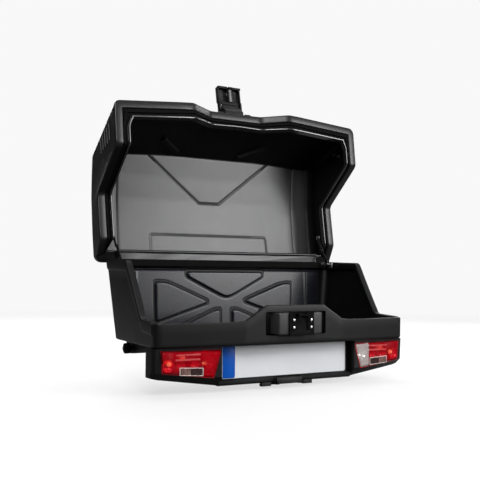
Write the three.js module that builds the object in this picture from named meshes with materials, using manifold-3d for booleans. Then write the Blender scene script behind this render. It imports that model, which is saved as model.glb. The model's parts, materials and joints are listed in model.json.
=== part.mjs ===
// Tow-ball cargo box: a moulded tub with a hinged lid, carried by a small
// steel frame that tilts on a ball coupling, with tail lights and a number
// plate at the rear. Millimetres, +Z up, +Y towards the vehicle, +X to the
// right as seen from behind. The origin is the centre of the tow ball.
// The geometry is laid out around the number plate's centre and moved to the
// tow-ball origin by the outermost group.
import * as THREE from 'three';
import * as BGU from 'three/addons/utils/BufferGeometryUtils.js';
import Module from 'manifold-3d';

const wasm = await Module();
wasm.setup();

// ---- driving dimensions ---------------------------------------------------
const BALL = { y: 505, z: -70, r: 25 };          // tow ball centre, plate frame
const LID_ANGLE = 101.04;                        // opening angle, degrees
const HINGE = { y: 431, z: 376 };                // lid hinge axis
const TILT = { y: 415, z: -28 };                 // tilt axis under the tub
const PLATE = { w: 520, h: 110, t: 1.2 };        // number plate
const TUB = { floor: 56, wall: 6, rim: 20, rimDepth: 26 };
const HUMP = { top: 190, base: 138, x1: 117, x2: 201 };
const REAR_RIM = 135, SIDE_RIM = 342, BACK_RIM = 347;
const LID_GAP = 4;                               // lid band above the tub's rim
const POCKET = { x: 126, z0: 88, z1: 168, y: -27 };
const PLINTH = { x: 96, z0: 91, z1: 165, y: -86 };
const BUMPER = { x: 521, inner: 279, top: 55.4 };
const GAP = 0.3;

// ---- materials ------------------------------------------------------------
const mat = (color, roughness, metalness = 0, extra = {}) =>
  new THREE.MeshStandardMaterial({ color, roughness, metalness, ...extra });
const M = {
  shell: () => mat(0x1b1b1c, 0.5),
  shellIn: () => mat(0x2a2a2c, 0.45),
  trim: () => mat(0x121213, 0.55),
  rubber: () => mat(0x0b0b0b, 0.85),
  steelBlack: () => mat(0x151515, 0.4, 0.5),
  steel: () => mat(0xb4b6b8, 0.3, 1.0),
  chrome: () => mat(0xd8d8da, 0.12, 1.0),
  plate: () => mat(0xeef0f2, 0.35),
  red: () => mat(0xb00810, 0.15, 0, { transparent: true, opacity: 0.85 }),
  clear: () => mat(0xf2f2f2, 0.1, 0, { transparent: true, opacity: 0.6 }),
  housing: () => mat(0x6a1014, 0.4),
};

// ---- solids ---------------------------------------------------------------
const toSolid = (geometry) => {
  const g = geometry.clone();
  g.deleteAttribute('normal');
  g.deleteAttribute('uv');
  const m = BGU.mergeVertices(g, 1e-4);
  return new wasm.Manifold(new wasm.Mesh({
    numProp: 3,
    vertProperties: new Float32Array(m.attributes.position.array),
    triVerts: new Uint32Array(m.index.array),
  }));
};
const toGeometry = (solid) => {
  const m = solid.getMesh();
  const n = m.numProp, pos = new Float32Array((m.vertProperties.length / n) * 3);
  for (let i = 0; i < pos.length / 3; i++) {
    for (let k = 0; k < 3; k++) pos[3 * i + k] = m.vertProperties[n * i + k];
  }
  const g = new THREE.BufferGeometry();
  g.setAttribute('position', new THREE.BufferAttribute(pos, 3));
  g.setIndex(new THREE.BufferAttribute(new Uint32Array(m.triVerts), 1));
  g.computeVertexNormals();
  return g;
};

// A box from two corners.
const boxG = (x0, x1, y0, y1, z0, z1) => {
  const g = new THREE.BoxGeometry(Math.abs(x1 - x0), Math.abs(y1 - y0), Math.abs(z1 - z0));
  g.translate((x0 + x1) / 2, (y0 + y1) / 2, (z0 + z1) / 2);
  return g;
};
const box = (...a) => toSolid(boxG(...a));

// A cylinder along X, Y or Z between two stations.
const rod = (axis, a, b, p, q, r, seg = 24) => {
  const g = new THREE.CylinderGeometry(r, r, Math.abs(b - a), seg);
  if (axis === 'x') { g.rotateZ(Math.PI / 2); g.translate((a + b) / 2, p, q); }
  if (axis === 'y') { g.translate(p, (a + b) / 2, q); }
  if (axis === 'z') { g.rotateX(Math.PI / 2); g.translate(p, q, (a + b) / 2); }
  return toSolid(g);
};

// A polygon in the YZ plane, extruded along X from x0 to x1.
const prismX = (pts, x0, x1) => {
  const s = new THREE.Shape(pts.map(([y, z]) => new THREE.Vector2(y, z)));
  const g = new THREE.ExtrudeGeometry(s, { depth: x1 - x0, bevelEnabled: false, curveSegments: 8 });
  // local x,y,z (y, z, along) -> world (along, y, z)
  g.applyMatrix4(new THREE.Matrix4().set(0, 0, 1, x0, 1, 0, 0, 0, 0, 1, 0, 0, 0, 0, 0, 1));
  return toSolid(g);
};
// A polygon in the XZ plane, extruded along Y from y0 to y1.
const prismY = (pts, y0, y1) => {
  const s = new THREE.Shape(pts.map(([x, z]) => new THREE.Vector2(x, z)));
  const g = new THREE.ExtrudeGeometry(s, { depth: y1 - y0, bevelEnabled: false, curveSegments: 8 });
  g.applyMatrix4(new THREE.Matrix4().set(1, 0, 0, 0, 0, 0, -1, y1, 0, 1, 0, 0, 0, 0, 0, 1));
  return toSolid(g);
};

// A closed body through a list of rings of equal length; each ring is
// [right half ..., left half ...] so the end caps are strips across X.
const loft = (list, closed = false) => {
  const n = list[0].length, pos = [], idx = [];
  list.forEach((r) => r.forEach((p) => pos.push(...p)));
  const at = (i, j) => i * n + ((j + n) % n);
  const quad = (a, b, c, d) => idx.push(a, b, c, a, c, d);
  const last = list.length;
  for (let i = 0; i < (closed ? last : last - 1); i++) {
    const k = (i + 1) % last;
    for (let j = 0; j < n; j++) quad(at(i, j), at(i, j + 1), at(k, j + 1), at(k, j));
  }
  if (!closed) {
    const half = n / 2;
    for (let j = 0; j < half - 1; j++) {
      quad(at(0, n - 1 - j), at(0, n - 2 - j), at(0, j + 1), at(0, j));
      quad(at(last - 1, j), at(last - 1, j + 1), at(last - 1, n - 2 - j), at(last - 1, n - 1 - j));
    }
  }
  const build = (index) => {
    const g = new THREE.BufferGeometry();
    g.setAttribute('position', new THREE.Float32BufferAttribute(pos, 3));
    g.setIndex(index);
    return g;
  };
  let vol = 0;
  for (let t = 0; t < idx.length; t += 3) {
    const [a, b, c] = [0, 1, 2].map((k) => new THREE.Vector3(...pos.slice(3 * idx[t + k], 3 * idx[t + k] + 3)));
    vol += a.dot(b.cross(c)) / 6;
  }
  if (vol < 0) for (let t = 0; t < idx.length; t += 3) [idx[t + 1], idx[t + 2]] = [idx[t + 2], idx[t + 1]];
  return toSolid(build(idx));
};

// ---- plan outline ---------------------------------------------------------
// The rear face is straight for |x| < x2 and swept forward to the corner; the
// side runs to the vehicle side; both corners are rounded. Returns the right
// half, from the rear to the vehicle side, inset by d.
const K = 3;                                     // segments per corner arc
const lineX = (p, q, d) => {                     // edge pushed inwards by d
  const ux = q[0] - p[0], uy = q[1] - p[1], l = Math.hypot(ux, uy);
  const nx = -uy / l, ny = ux / l;               // left of travel = inwards
  return [[p[0] + nx * d, p[1] + ny * d], [q[0] + nx * d, q[1] + ny * d]];
};
const cross = ([p, q], [r, s]) => {
  const a = q[0] - p[0], b = q[1] - p[1], c = s[0] - r[0], e = s[1] - r[1];
  const t = ((r[0] - p[0]) * e - (r[1] - p[1]) * c) / (a * e - b * c);
  return [p[0] + a * t, p[1] + b * t];
};
const fillet = (prev, v, next, r) => {
  const u1 = new THREE.Vector2(prev[0] - v[0], prev[1] - v[1]).normalize();
  const u2 = new THREE.Vector2(next[0] - v[0], next[1] - v[1]).normalize();
  const half = Math.acos(u1.dot(u2)) / 2, t = r / Math.tan(half);
  const c = u1.clone().add(u2).normalize().multiplyScalar(r / Math.sin(half));
  const cx = v[0] + c.x, cy = v[1] + c.y;
  const a0 = Math.atan2(v[1] + u1.y * t - cy, v[0] + u1.x * t - cx);
  let a1 = Math.atan2(v[1] + u2.y * t - cy, v[0] + u2.x * t - cx);
  while (a1 - a0 > Math.PI) a1 -= 2 * Math.PI;
  while (a1 - a0 < -Math.PI) a1 += 2 * Math.PI;
  return Array.from({ length: K + 1 }, (_, i) => {
    const a = a0 + ((a1 - a0) * i) / K;
    return [cx + r * Math.cos(a), cy + r * Math.sin(a)];
  });
};
const halfOutline = (o, d) => {
  const A = [0, o.yc], B = [o.x2, o.yc], C = [o.cx, o.cy], D = [o.bx, o.by], E = [0, o.by];
  const e1 = lineX(A, B, d), e2 = lineX(B, C, d), e3 = lineX(C, D, d), e4 = lineX(D, E, d);
  const c1 = cross(e2, e3), c2 = cross(e3, e4);
  const sideX = (y) => c1[0] + ((c2[0] - c1[0]) * (y - c1[1])) / (c2[1] - c1[1]);
  const rearY = (x) => e2[0][1] + ((c1[1] - e2[0][1]) * (x - e2[0][0])) / (c1[0] - e2[0][0]);
  return [
    [o.x1, e1[0][1]], [o.x2, rearY(o.x2)], [(o.x2 + o.cx) / 2, rearY((o.x2 + o.cx) / 2)],
    ...fillet([0, rearY(0)], c1, c2, Math.max(o.r1 - d, 3)),
    ...o.ys.map((y) => [sideX(y), y]),
    ...fillet(c1, c2, [0, c2[1]], Math.max(o.r2 - d, 3)),
    [o.x2, c2[1]], [o.x1, c2[1]],
  ];
};
const mix = (a, b, t) => {
  const o = {};
  for (const k of Object.keys(a)) o[k] = Array.isArray(a[k]) ? a[k] : a[k] + (b[k] - a[k]) * t;
  return o;
};
// Rim height of the tub by column; the lid's rim follows the same line.
const sideRim = (y) => {
  const P = [[-100, REAR_RIM - 1], [-30, REAR_RIM], [101, 144], [224, SIDE_RIM], [405, BACK_RIM], [600, BACK_RIM]];
  for (let i = 1; i < P.length; i++) {
    if (y <= P[i][0]) return P[i - 1][1] + ((P[i][1] - P[i - 1][1]) * (y - P[i - 1][0])) / (P[i][0] - P[i - 1][0]);
  }
  return BACK_RIM;
};
const SIDE_Y = [30, 101, 162, 224, 310, 392];
const columns = halfOutline({ yc: -60, x1: HUMP.x1, x2: HUMP.x2, cx: 520, cy: -26, bx: 505, by: 432, r1: 24, r2: 30, ys: SIDE_Y }, 0).length;
const kind = (i) => (i === 0 ? 'hump' : i === 1 ? 'humpfoot' : i < 3 + K + 1 ? 'rear'
  : i < 3 + K + 1 + SIDE_Y.length ? 'side' : 'back');
const ring = (topO, botO, zTop, zBot, d, zOf) => {
  const right = [];
  for (let i = 0; i < columns; i++) {
    const z = zOf(i);
    const o = mix(botO, topO, (z - zBot) / (zTop - zBot));
    const [x, y] = halfOutline(o, d)[i];
    right.push([x, y, z]);
  }
  return [...right, ...right.slice().reverse().map(([x, y, z]) => [-x, y, z])];
};

// ---- tub ------------------------------------------------------------------
const tubTop = { yc: -60, x1: HUMP.x1, x2: HUMP.x2, cx: 520, cy: -26, bx: 505, by: 432, r1: 24, r2: 30, ys: SIDE_Y };
const tubBot = { yc: -58, x1: HUMP.x1, x2: HUMP.x2, cx: 519, cy: -25, bx: 470, by: 420, r1: 24, r2: 34, ys: SIDE_Y };
const tubColumn = halfOutline(tubTop, 0);
const tubRim = (i) => {
  const k = kind(i);
  if (k === 'hump') return HUMP.top;
  if (k === 'humpfoot') return HUMP.base;
  if (k === 'rear') return REAR_RIM;
  if (k === 'side') return sideRim(tubColumn[i][1]);
  return BACK_RIM;
};
const T = (d, zOf) => ring(tubTop, tubBot, 347, 56, d, zOf);
let tub = loft([
  T(10, () => TUB.floor),
  T(0, () => TUB.floor + 8),
  T(0, tubRim),
  T(TUB.rim, tubRim),
  T(TUB.rim, (i) => tubRim(i) - TUB.rimDepth),
  T(TUB.wall, (i) => tubRim(i) - TUB.rimDepth - 8),
  T(TUB.wall, () => TUB.floor + 16),
  T(16, () => TUB.floor + 6),
]);
tub = tub.add(box(-131, 131, -56, -16, 78, 178));
tub = tub.subtract(box(-POCKET.x, POCKET.x, -70, POCKET.y, POCKET.z0, POCKET.z1));
tub = tub.add(box(-PLINTH.x, PLINTH.x, PLINTH.y, POCKET.y + 1, PLINTH.z0, PLINTH.z1));

// Rubber strip along the inner face of the tub's vehicle-side rim.
const backSeal = box(-458, 458, 406.2, 410.2, 321, 345.5);

// ---- lid, modelled closed -------------------------------------------------
const LY = [30, 101, 162, 224, 310, 392];
const lidRimO = { yc: -88, x1: 113, x2: 216, cx: 536, cy: -60, bx: 532, by: 470, r1: 24, r2: 18, ys: LY };
const lidTopO = { yc: 19, x1: 113, x2: 216, cx: 510, cy: 34, bx: 510, by: 455, r1: 26, r2: 28, ys: [70, 132, 190, 245, 320, 392] };
const LID_BACK = 394;                            // rim height beyond the hinge
const lidRim = (i) => {
  const k = kind(i);
  if (k === 'hump') return HUMP.top + LID_GAP + 3;
  if (k === 'humpfoot') return HUMP.base + LID_GAP;
  if (k === 'rear') return REAR_RIM + LID_GAP;
  if (k === 'side') return sideRim(LY[i - 4 - K]) + LID_GAP;
  return LID_BACK;
};
const lidTopZ = (y) => {                         // crown of the outer top
  const P = [[0, 430], [30, 436], [110, 457], [205, 477], [340, 487], [460, 489]];
  for (let i = 1; i < P.length; i++) {
    if (y <= P[i][0]) return P[i - 1][1] + ((P[i][1] - P[i - 1][1]) * (y - P[i - 1][0])) / (P[i][0] - P[i - 1][0]);
  }
  return 489;
};
const lidRimPts = halfOutline(lidRimO, 0), lidTopPts = halfOutline(lidTopO, 0);
// The lid overhangs the tub's rear, so its lip and seal sit further in there.
const LIP_IN = { hump: 15, humpfoot: 18, rear: 22, side: 10, back: 0 };
const SEAL_IN = { hump: 8, humpfoot: 9, rear: 13, side: 5, back: 0 };
const FLUSH = { hump: 0, humpfoot: 0, rear: 0, side: 0, back: 0 };
// A lid ring: s = 0 at the rim, 1 at the top edge; d is the inset; dz a shift.
const lidRing = (s, d, dz, extra = FLUSH) => {
  const right = [];
  for (let i = 0; i < columns; i++) {
    const r = halfOutline(lidRimO, d + extra[kind(i)])[i], t = halfOutline(lidTopO, d + extra[kind(i)])[i];
    const zr = lidRim(i), zt = lidTopZ(lidTopPts[i][1]) - 14;
    const z = zr + (zt - zr) * s + dz;
    const f = (z - zr) / (zt - zr);
    right.push([r[0] + (t[0] - r[0]) * f, r[1] + (t[1] - r[1]) * f, z]);
  }
  return [...right, ...right.slice().reverse().map(([x, y, z]) => [-x, y, z])];
};
const lidCap = (d, dz) => {
  const right = halfOutline(lidTopO, d).map(([x, y]) => [x, y, lidTopZ(y) + dz]);
  return [...right, ...right.slice().reverse().map(([x, y, z]) => [-x, y, z])];
};
// The lip hangs into the tub everywhere except over the hinge.
const lipRing = (d, dzFront, dzBack) => {
  const r = lidRing(0, d, 0), lo = lidRing(0, d, dzFront, LIP_IN), hi = lidRing(0, d, dzBack, LIP_IN);
  return r.map((_, j) => {
    const i = j < columns ? j : 2 * columns - 1 - j;
    return kind(i) === 'back' ? hi[j] : lo[j];
  });
};
const sealRing = (d, dz) => lidRing(0, d, dz, SEAL_IN);
const sealLoft = (a, b, lo, hi) => loft([sealRing(a, hi), sealRing(a, lo), sealRing(b, lo), sealRing(b, hi)], true);
let lid = loft([
  lidCap(16, 0),
  lidRing(1, 0, 0),
  lidRing(0, 0, 0),
  lidRing(0, 24, 0),
  lidRing(0, 24, 5),
  lidRing(0, 39, 5, LIP_IN),
  lipRing(39, -6, 3),
  lipRing(45, -6, 3),
  lidRing(0, 45, 12, LIP_IN),
  lidRing(0, 6, 12),
  lidRing(1, 6, -8),
  lidCap(22, -6),
]);

// Lid seal in the groove between the band and the lip.
const seal = sealLoft(26, 34, -0.4, 4.6);
lid = lid.subtract(sealLoft(25.6, 34.4, -2, 5));
// Two small pads on the outer wall, one on each side of the latch.
const padPts = [[-82, 204], [-93.5, 206.5], [-77, 238], [-64.5, 240]];
lid = lid.add(prismX(padPts, 48, 74)).add(prismX(padPts, -74, -48));

// ---- hinge ----------------------------------------------------------------
const knuckle = (x0, x1) => rod('x', x0, x1, HINGE.y, HINGE.z, 6, 14);
let baseLeaf = box(-450, 450, 432.5, 435, 296, 374);
let lidLeaf = box(-450, 450, 424, 458, 390.8, 393.2).add(box(-450, 450, 429.8, 432.2, 379, 391.5));
const SEGS = 9, LEN = 900 / SEGS;
for (let i = 0; i < SEGS; i++) {
  const a = -450 + i * LEN + 0.4, b = a + LEN - 0.8;
  const clear = rod('x', a - 0.8, b + 0.8, HINGE.y, HINGE.z, 7.2, 14);
  if (i % 2 === 0) {
    lidLeaf = lidLeaf.subtract(clear);
    baseLeaf = baseLeaf.add(knuckle(a, b));
  } else {
    baseLeaf = baseLeaf.subtract(clear);
    lidLeaf = lidLeaf.add(knuckle(a, b));
  }
}
const pinBore = rod('x', -470, 470, HINGE.y, HINGE.z, 2.65, 12);
baseLeaf = baseLeaf.subtract(pinBore);
lidLeaf = lidLeaf.subtract(pinBore);
const hingePin = rod('x', -451, 451, HINGE.y, HINGE.z, 2.5, 12);

// ---- folding lid stays ----------------------------------------------------
// Points in the side plane. The lid's stay pivot is given with the lid open.
const STAY = { lid: [449, 449], elbow: [416, 396], base: [372, 338], x0: 468 };
const link = (p, q, x0, x1, w, bore) => {
  const dx = q[0] - p[0], dz = q[1] - p[1], l = Math.hypot(dx, dz), a = Math.atan2(dz, dx);
  const s = new THREE.Shape();
  s.absarc(0, 0, w, Math.PI / 2, (3 * Math.PI) / 2, false);
  s.absarc(l, 0, w, -Math.PI / 2, Math.PI / 2, false);
  s.closePath();
  bore.forEach((b) => {
    const h = new THREE.Path();
    h.absarc(b ? l : 0, 0, 2.7, 0, 2 * Math.PI, false);
    s.holes.push(h);
  });
  const g = new THREE.ExtrudeGeometry(s, { depth: x1 - x0, bevelEnabled: false, curveSegments: 8 });
  g.rotateZ(a);
  g.translate(p[0], p[1], 0);
  g.applyMatrix4(new THREE.Matrix4().set(0, 0, 1, x0, 1, 0, 0, 0, 0, 1, 0, 0, 0, 0, 0, 1));
  return toSolid(g);
};
const stayParts = (s) => {
  const sx = (a, b) => (s > 0 ? [a, b] : [-b, -a]);
  const span = (f, a, b, ...r) => f('x', ...sx(a, b), ...r);
  const lower = link(STAY.elbow, STAY.base, ...sx(464, 467), 6, [1])
    .add(span(rod, 459.5, 464.5, ...STAY.elbow, 4.5, 12));
  const upper = link(STAY.lid, STAY.elbow, ...sx(468, 471), 6, [0, 1]);
  const basePin = span(rod, 460, 479, ...STAY.base, 2.5, 12).add(span(rod, 460, 463.4, ...STAY.base, 5, 12));
  const baseBracket = box(...sx(476, 480), STAY.base[0] - 14, STAY.base[0] + 14, STAY.base[1] - 16, STAY.base[1] + 3.5)
    .add(box(...sx(476, 481.2), STAY.base[0] - 14, STAY.base[0] + 14, STAY.base[1] - 18, STAY.base[1] - 15))
    .add(basePin);
  return { lower, upper, baseBracket };
};
const stayL = stayParts(-1), stayR = stayParts(1);

// ---- latch on the lid (closed coordinates) --------------------------------
const LATCH = { y: -118, z: 236 };               // lever pivot
// The body's back follows the slope of the lid's rear wall.
let latchBody = prismX([[-85.1, 204], [-100, 204], [-124, 228], [-124, 246], [-110, 256], [-60.2, 256]], -40, 40);
latchBody = latchBody.subtract(rod('x', -60, 60, LATCH.y, LATCH.z, 4.2, 16));
const latchPin = rod('x', -52, 52, LATCH.y, LATCH.z, 4, 16);
// Lever in its rest position, pointing away from the lid's wall; dy and dz are
// measured from the pivot.
const lv = (x0, x1, dy0, dy1, dz0, dz1) => box(x0, x1, LATCH.y + dy0, LATCH.y + dy1, LATCH.z + dz0, LATCH.z + dz1);
let latchLever = lv(-51, 51, -90, -26, -4, 14)
  .subtract(lv(-46, 46, -84, -22, -6, 9))
  .add(lv(-51, -44, -30, 8, -8, 9)).add(lv(44, 51, -30, 8, -8, 9))
  .add(lv(-51, 51, -92, -84, -10, 4));
const lockZ = (a, b, rad, seg) => rod('z', LATCH.z + a, LATCH.z + b, 0, LATCH.y - 66, rad, seg);
latchLever = latchLever.add(lockZ(8, 17.5, 13, 20)).subtract(lockZ(0, 22, 8.4, 20));
latchLever = latchLever.subtract(rod('x', -60, 60, LATCH.y, LATCH.z, 4.3, 16));
latchLever = latchLever.subtract(lv(-10, 10, -93, -83.3, -11, -4.2));
const lockCylinder = lockZ(3, 18.8, 8.1, 20)
  .subtract(box(-1.2, 1.2, LATCH.y - 71, LATCH.y - 61, LATCH.z + 14, LATCH.z + 22));
// Steel hook under the lever, held by two rivets of its own to the lever's web.
const hookPts = [[-29, -4.6], [-29, -11], [-80, -11], [-84, -19.6], [-88.6, -19], [-88.6, -12], [-83.6, -4.6], [-56, -4.6]];
const latchHook = prismX(hookPts.map(([y, z]) => [LATCH.y + y, LATCH.z + z]), -9, 9)
  .add(lv(-9, 9, -50, -33, -6, 8.7));

// ---- striker --------------------------------------------------------------
let striker = box(-51, 51, -92, PLINTH.y - GAP, 88, 170)
  .subtract(box(-24, 24, -99, -88.5, 104, 165.5))
  .add(box(-20, -14, -103, -87.5, 150, 162))
  .add(box(14, 20, -103, -87.5, 150, 162))
  .add(rod('x', -18, 18, -100, 156, 2.9, 12));
const BOLT_Z = [115, 140];
const strikerBolts = [];
[[-36, 0], [36, 0], [-36, 1], [36, 1]].forEach(([x, k]) => {
  striker = striker.subtract(rod('y', -95, -84, x, BOLT_Z[k], 4.3, 16));
  tub = tub.subtract(rod('y', -88, -60, x, BOLT_Z[k], 4.3, 16));
  const head = new THREE.CylinderGeometry(6.5, 7.2, 4.5, 6);
  head.translate(x, -94.5, BOLT_Z[k]);
  strikerBolts.push(toSolid(head).add(rod('y', -93, -64, x, BOLT_Z[k], 4, 16)));
});

// ---- rear bumper pods -----------------------------------------------------
const podSection = (x, s) => s.map(([y, z]) => [x, y, z]);
const podLoft = (stations) => {
  // every station is the same polygon count; caps are fans
  const n = stations[0].length, pos = [], idx = [];
  stations.forEach((r) => r.forEach((p) => pos.push(...p)));
  for (let i = 0; i < stations.length - 1; i++) {
    for (let j = 0; j < n; j++) {
      const a = i * n + j, b = i * n + ((j + 1) % n), c = (i + 1) * n + ((j + 1) % n), d = (i + 1) * n + j;
      idx.push(a, b, c, a, c, d);
    }
  }
  const l = (stations.length - 1) * n;
  for (let j = 1; j < n - 1; j++) { idx.push(0, j + 1, j); idx.push(l, l + j, l + j + 1); }
  let vol = 0;
  for (let t = 0; t < idx.length; t += 3) {
    const [a, b, c] = [0, 1, 2].map((k) => new THREE.Vector3(...pos.slice(3 * idx[t + k], 3 * idx[t + k] + 3)));
    vol += a.dot(b.cross(c)) / 6;
  }
  if (vol < 0) for (let t = 0; t < idx.length; t += 3) [idx[t + 1], idx[t + 2]] = [idx[t + 2], idx[t + 1]];
  const g = new THREE.BufferGeometry();
  g.setAttribute('position', new THREE.Float32BufferAttribute(pos, 3));
  g.setIndex(idx);
  return toSolid(g);
};
const mirrorX = (s) => s.mirror([1, 0, 0]);
const BT = BUMPER.top;
const podOuter = podLoft([
  podSection(BUMPER.inner, [[-31, BT], [-31, -44], [2, -75], [40, -75], [40, BT]]),
  podSection(495, [[-22, BT], [-20, -24], [6, -45], [40, -45], [40, BT]]),
  podSection(513, [[-18, BT], [-14, -22], [9, -41], [40, -41], [40, BT]]),
  podSection(BUMPER.x, [[-6, BT], [-3, -18], [15, -38], [40, -38], [40, BT]]),
]);
const podInner = podLoft([
  podSection(BUMPER.inner + 5, [[-25, BT - 5], [-25, -41], [5, -69], [70, -69], [70, BT - 5]]),
  podSection(495, [[-16, BT - 5], [-14, -22], [8, -39], [70, -39], [70, BT - 5]]),
  podSection(510, [[-12, BT - 5], [-9, -20], [11, -36], [70, -36], [70, BT - 5]]),
  podSection(BUMPER.x - 5, [[-2, BT - 5], [2, -16], [17, -33], [70, -33], [70, BT - 5]]),
]);
const LIGHT = [[499, 49], [283, 46], [283, 30], [307, -46], [345, -42], [493, -23]];
const grow = (pts, d) => {                        // offset a convex outline
  const n = pts.length, c = pts.reduce((a, p) => [a[0] + p[0] / n, a[1] + p[1] / n], [0, 0]);
  return pts.map(([x, z]) => { const l = Math.hypot(x - c[0], z - c[1]); return [x + ((x - c[0]) / l) * d, z + ((z - c[1]) / l) * d]; });
};
const podR = podOuter.subtract(podInner).subtract(prismY(grow(LIGHT, 0.6), -60, 8));
const podL = mirrorX(podR);

// ---- tail lights ----------------------------------------------------------
// Lens face follows the swept rear: y at the inner and the outer end.
const lensSlab = (front, back) => podLoft([
  podSection(270, [[-34 + front, 60], [-34 + front, -60], [-34 + back, -60], [-34 + back, 60]]),
  podSection(510, [[-26 + front, 60], [-26 + front, -60], [-26 + back, -60], [-26 + back, 60]]),
]);
const lightOutline = prismY(LIGHT, -60, 60);
const housingR = lensSlab(4, 40).intersect(lightOutline)
  .subtract(lensSlab(0, 37).intersect(prismY(grow(LIGHT, -3), -60, 60)));
const SPLIT = 346;
const lensAll = lensSlab(0, 3.6).intersect(lightOutline);
const WINDOW = [[434, -5], [349, -9], [349, -36], [434, -31]];
const lensOuterR = lensAll.intersect(box(SPLIT + 0.3, 600, -100, 100, -100, 100))
  .subtract(prismY(grow(WINDOW, 0.4), -60, 60));
const lensInnerR = lensAll.intersect(box(200, SPLIT - 0.3, -100, 100, -100, 100));
const windowR = lensSlab(-1.2, 3.2).intersect(prismY(WINDOW, -60, 60));
const bulb = (x, z) => {
  const pts = [[0, -12], [3.5, -11], [6.5, -7], [7.5, -2], [6.8, 3], [5, 7], [5, 18], [0, 18]]
    .map(([r, y]) => new THREE.Vector2(r, y));
  const g = new THREE.LatheGeometry(pts, 12);
  g.translate(x, -12, z);
  return toSolid(g);
};
const bulbTailR = bulb(464, 6).subtract(housingR), bulbTurnR = bulb(415, 24).subtract(housingR);

// ---- number plate and its carrier -----------------------------------------
const plate = box(-260, 260, 0, PLATE.t, -55, 55);
const holder = box(-264, 264, PLATE.t + GAP, 4.4, -57.8, 55.5)
  .add(box(-264, -260.5, -1.6, 4, -57.8, 55.5)).add(box(260.5, 264, -1.6, 4, -57.8, 55.5))
  .add(box(-264, 264, -1.6, 4, -57.8, -55.4));
const carrier = box(-277, 277, 4.8, 12, -57.5, 55.2)
  .add(box(-277, 277, 11, 40, -57.5, -52)).add(box(-277, 277, 11, 40, 40, 46));

// Lower lips with the pedal's bearings under them.
const lipPoly = [[-8, -60.5], [-8, -72], [-3, -77], [12, -77], [12, -58.2], [-5, -58.2]];
const bear = (x0, x1) => box(x0, x1, -6, 9, -89, -76).subtract(rod('x', x0 - 2, x1 + 2, 2, -82.5, 3.6, 16));
const lipLeft = prismX(lipPoly, -278, -57).add(bear(-106, -68));
const lipRight = prismX(lipPoly, 57, 278).add(bear(68, 106));
const pedal = prismX([[-20, -62], [-22, -80], [-16, -82.5], [-13, -80], [-13.5, -60], [-18, -60]], -53, 53)
  .add(box(-53, -40, -16, 2, -84.5, -80.5)).add(box(40, 53, -16, 2, -84.5, -80.5))
  .add(rod('x', -109, 109, 2, -82.5, 3.4, 16));

// ---- frame under the tub --------------------------------------------------
const FT = 55.7, FB = 25.7;                       // top and bottom of the tubes
const tubeY = (x0, x1, y0, y1) => box(x0, x1, y0, y1, FB, FT).subtract(box(x0 + 3, x1 - 3, y0 - 5, y1 + 5, FB + 3, FT - 3));
const railR = tubeY(130, 170, 80.6, 381.7), railL = mirrorX(railR);
const rearCross = box(-470, 470, 40.3, 80.3, FB, FT).subtract(box(-480, 480, 43.3, 77.3, FB + 3, FT - 3));
let frontCross = box(-420, 420, 382, 422, FB, FT).subtract(box(-430, 430, 385, 419, FB + 3, FT - 3));
const lugPoly = [[395, 30], [395, -28], [401, -42], [415, -48], [429, -42], [435, -28], [428, 30]];
[[34, 44], [-44, -34]].forEach(([a, b]) => {
  frontCross = frontCross.add(prismX(lugPoly, a, b).subtract(box(a - 1, b + 1, 385.2, 418.8, FB + 3.2, 60)));
});
frontCross = frontCross.subtract(rod('x', -60, 60, TILT.y, TILT.z, 8.2, 24)).subtract(rod('x', 30, 60, TILT.y, 6, 5.2, 20));

// Side rails with a stub axle for the transport rollers.
const sideRailR = prismX([[81, 30], [214, 22], [325, 10], [350, 8], [376, 12], [384, 30], [384, 55.3], [81, 55.3]], 428, 435)
  .add(rod('x', 433, 463, 350, 27, 4, 20)).add(rod('x', 461.4, 464, 350, 27, 7, 20));
const sideRailL = mirrorX(sideRailR);
const roller = () => {
  const pts = [[4.1, 437], [9, 437], [9, 440], [19, 441], [19, 458], [9, 459], [9, 461], [4.1, 461], [4.1, 437]]
    .map(([r, x]) => new THREE.Vector2(r, x));
  const g = new THREE.LatheGeometry(pts, 20);     // axis +Y
  g.rotateZ(-Math.PI / 2);                        // axis +X
  g.translate(0, 350, 27);
  return toSolid(g);
};
const rollerR = roller(), rollerL = mirrorX(rollerR);

// ---- ball coupling --------------------------------------------------------
let coupling = rod('z', -98, -26, 0, BALL.y, 43, 28)
  .add(box(-58, 58, 444, 500, -66, -34))
  .add(prismX([[392, -28], [398, -44], [415, -52], [440, -58], [462, -64], [462, -36], [440, 6], [432, 22], [398, 22]], 46, 58))
  .add(prismX([[392, -28], [398, -44], [415, -52], [440, -58], [462, -64], [462, -36], [440, 6], [432, 22], [398, 22]], -58, -46))
  .add(box(-24, -14, 476, 504, -30, -6)).add(box(14, 24, 476, 504, -30, -6));
const sphere = (r, seg = 20) => {
  const g = new THREE.SphereGeometry(r, seg, seg / 2);
  g.rotateX(Math.PI / 2);
  g.translate(0, BALL.y, BALL.z);
  return toSolid(g);
};
coupling = coupling.subtract(sphere(BALL.r + 0.5)).subtract(rod('z', -110, -70, 0, BALL.y, BALL.r + 0.5, 20));
coupling = coupling.subtract(box(-13, 13, 430, 505, -90, -72));
coupling = coupling.subtract(rod('x', -70, 70, TILT.y, TILT.z, 8.1, 24)).subtract(rod('x', 40, 70, TILT.y, 6, 5.2, 20));
coupling = coupling.subtract(rod('x', -40, 40, 490, -16, 5.1, 20));
const tiltPin = rod('x', -70, 70, TILT.y, TILT.z, 7.9, 24).add(rod('x', 60, 66, TILT.y, TILT.z, 13, 6)).add(rod('x', -66, -60, TILT.y, TILT.z, 13, 6));
const jaw = box(-12.5, 12.5, 464, 488, -89, -73).subtract(sphere(BALL.r + 0.4));
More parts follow.
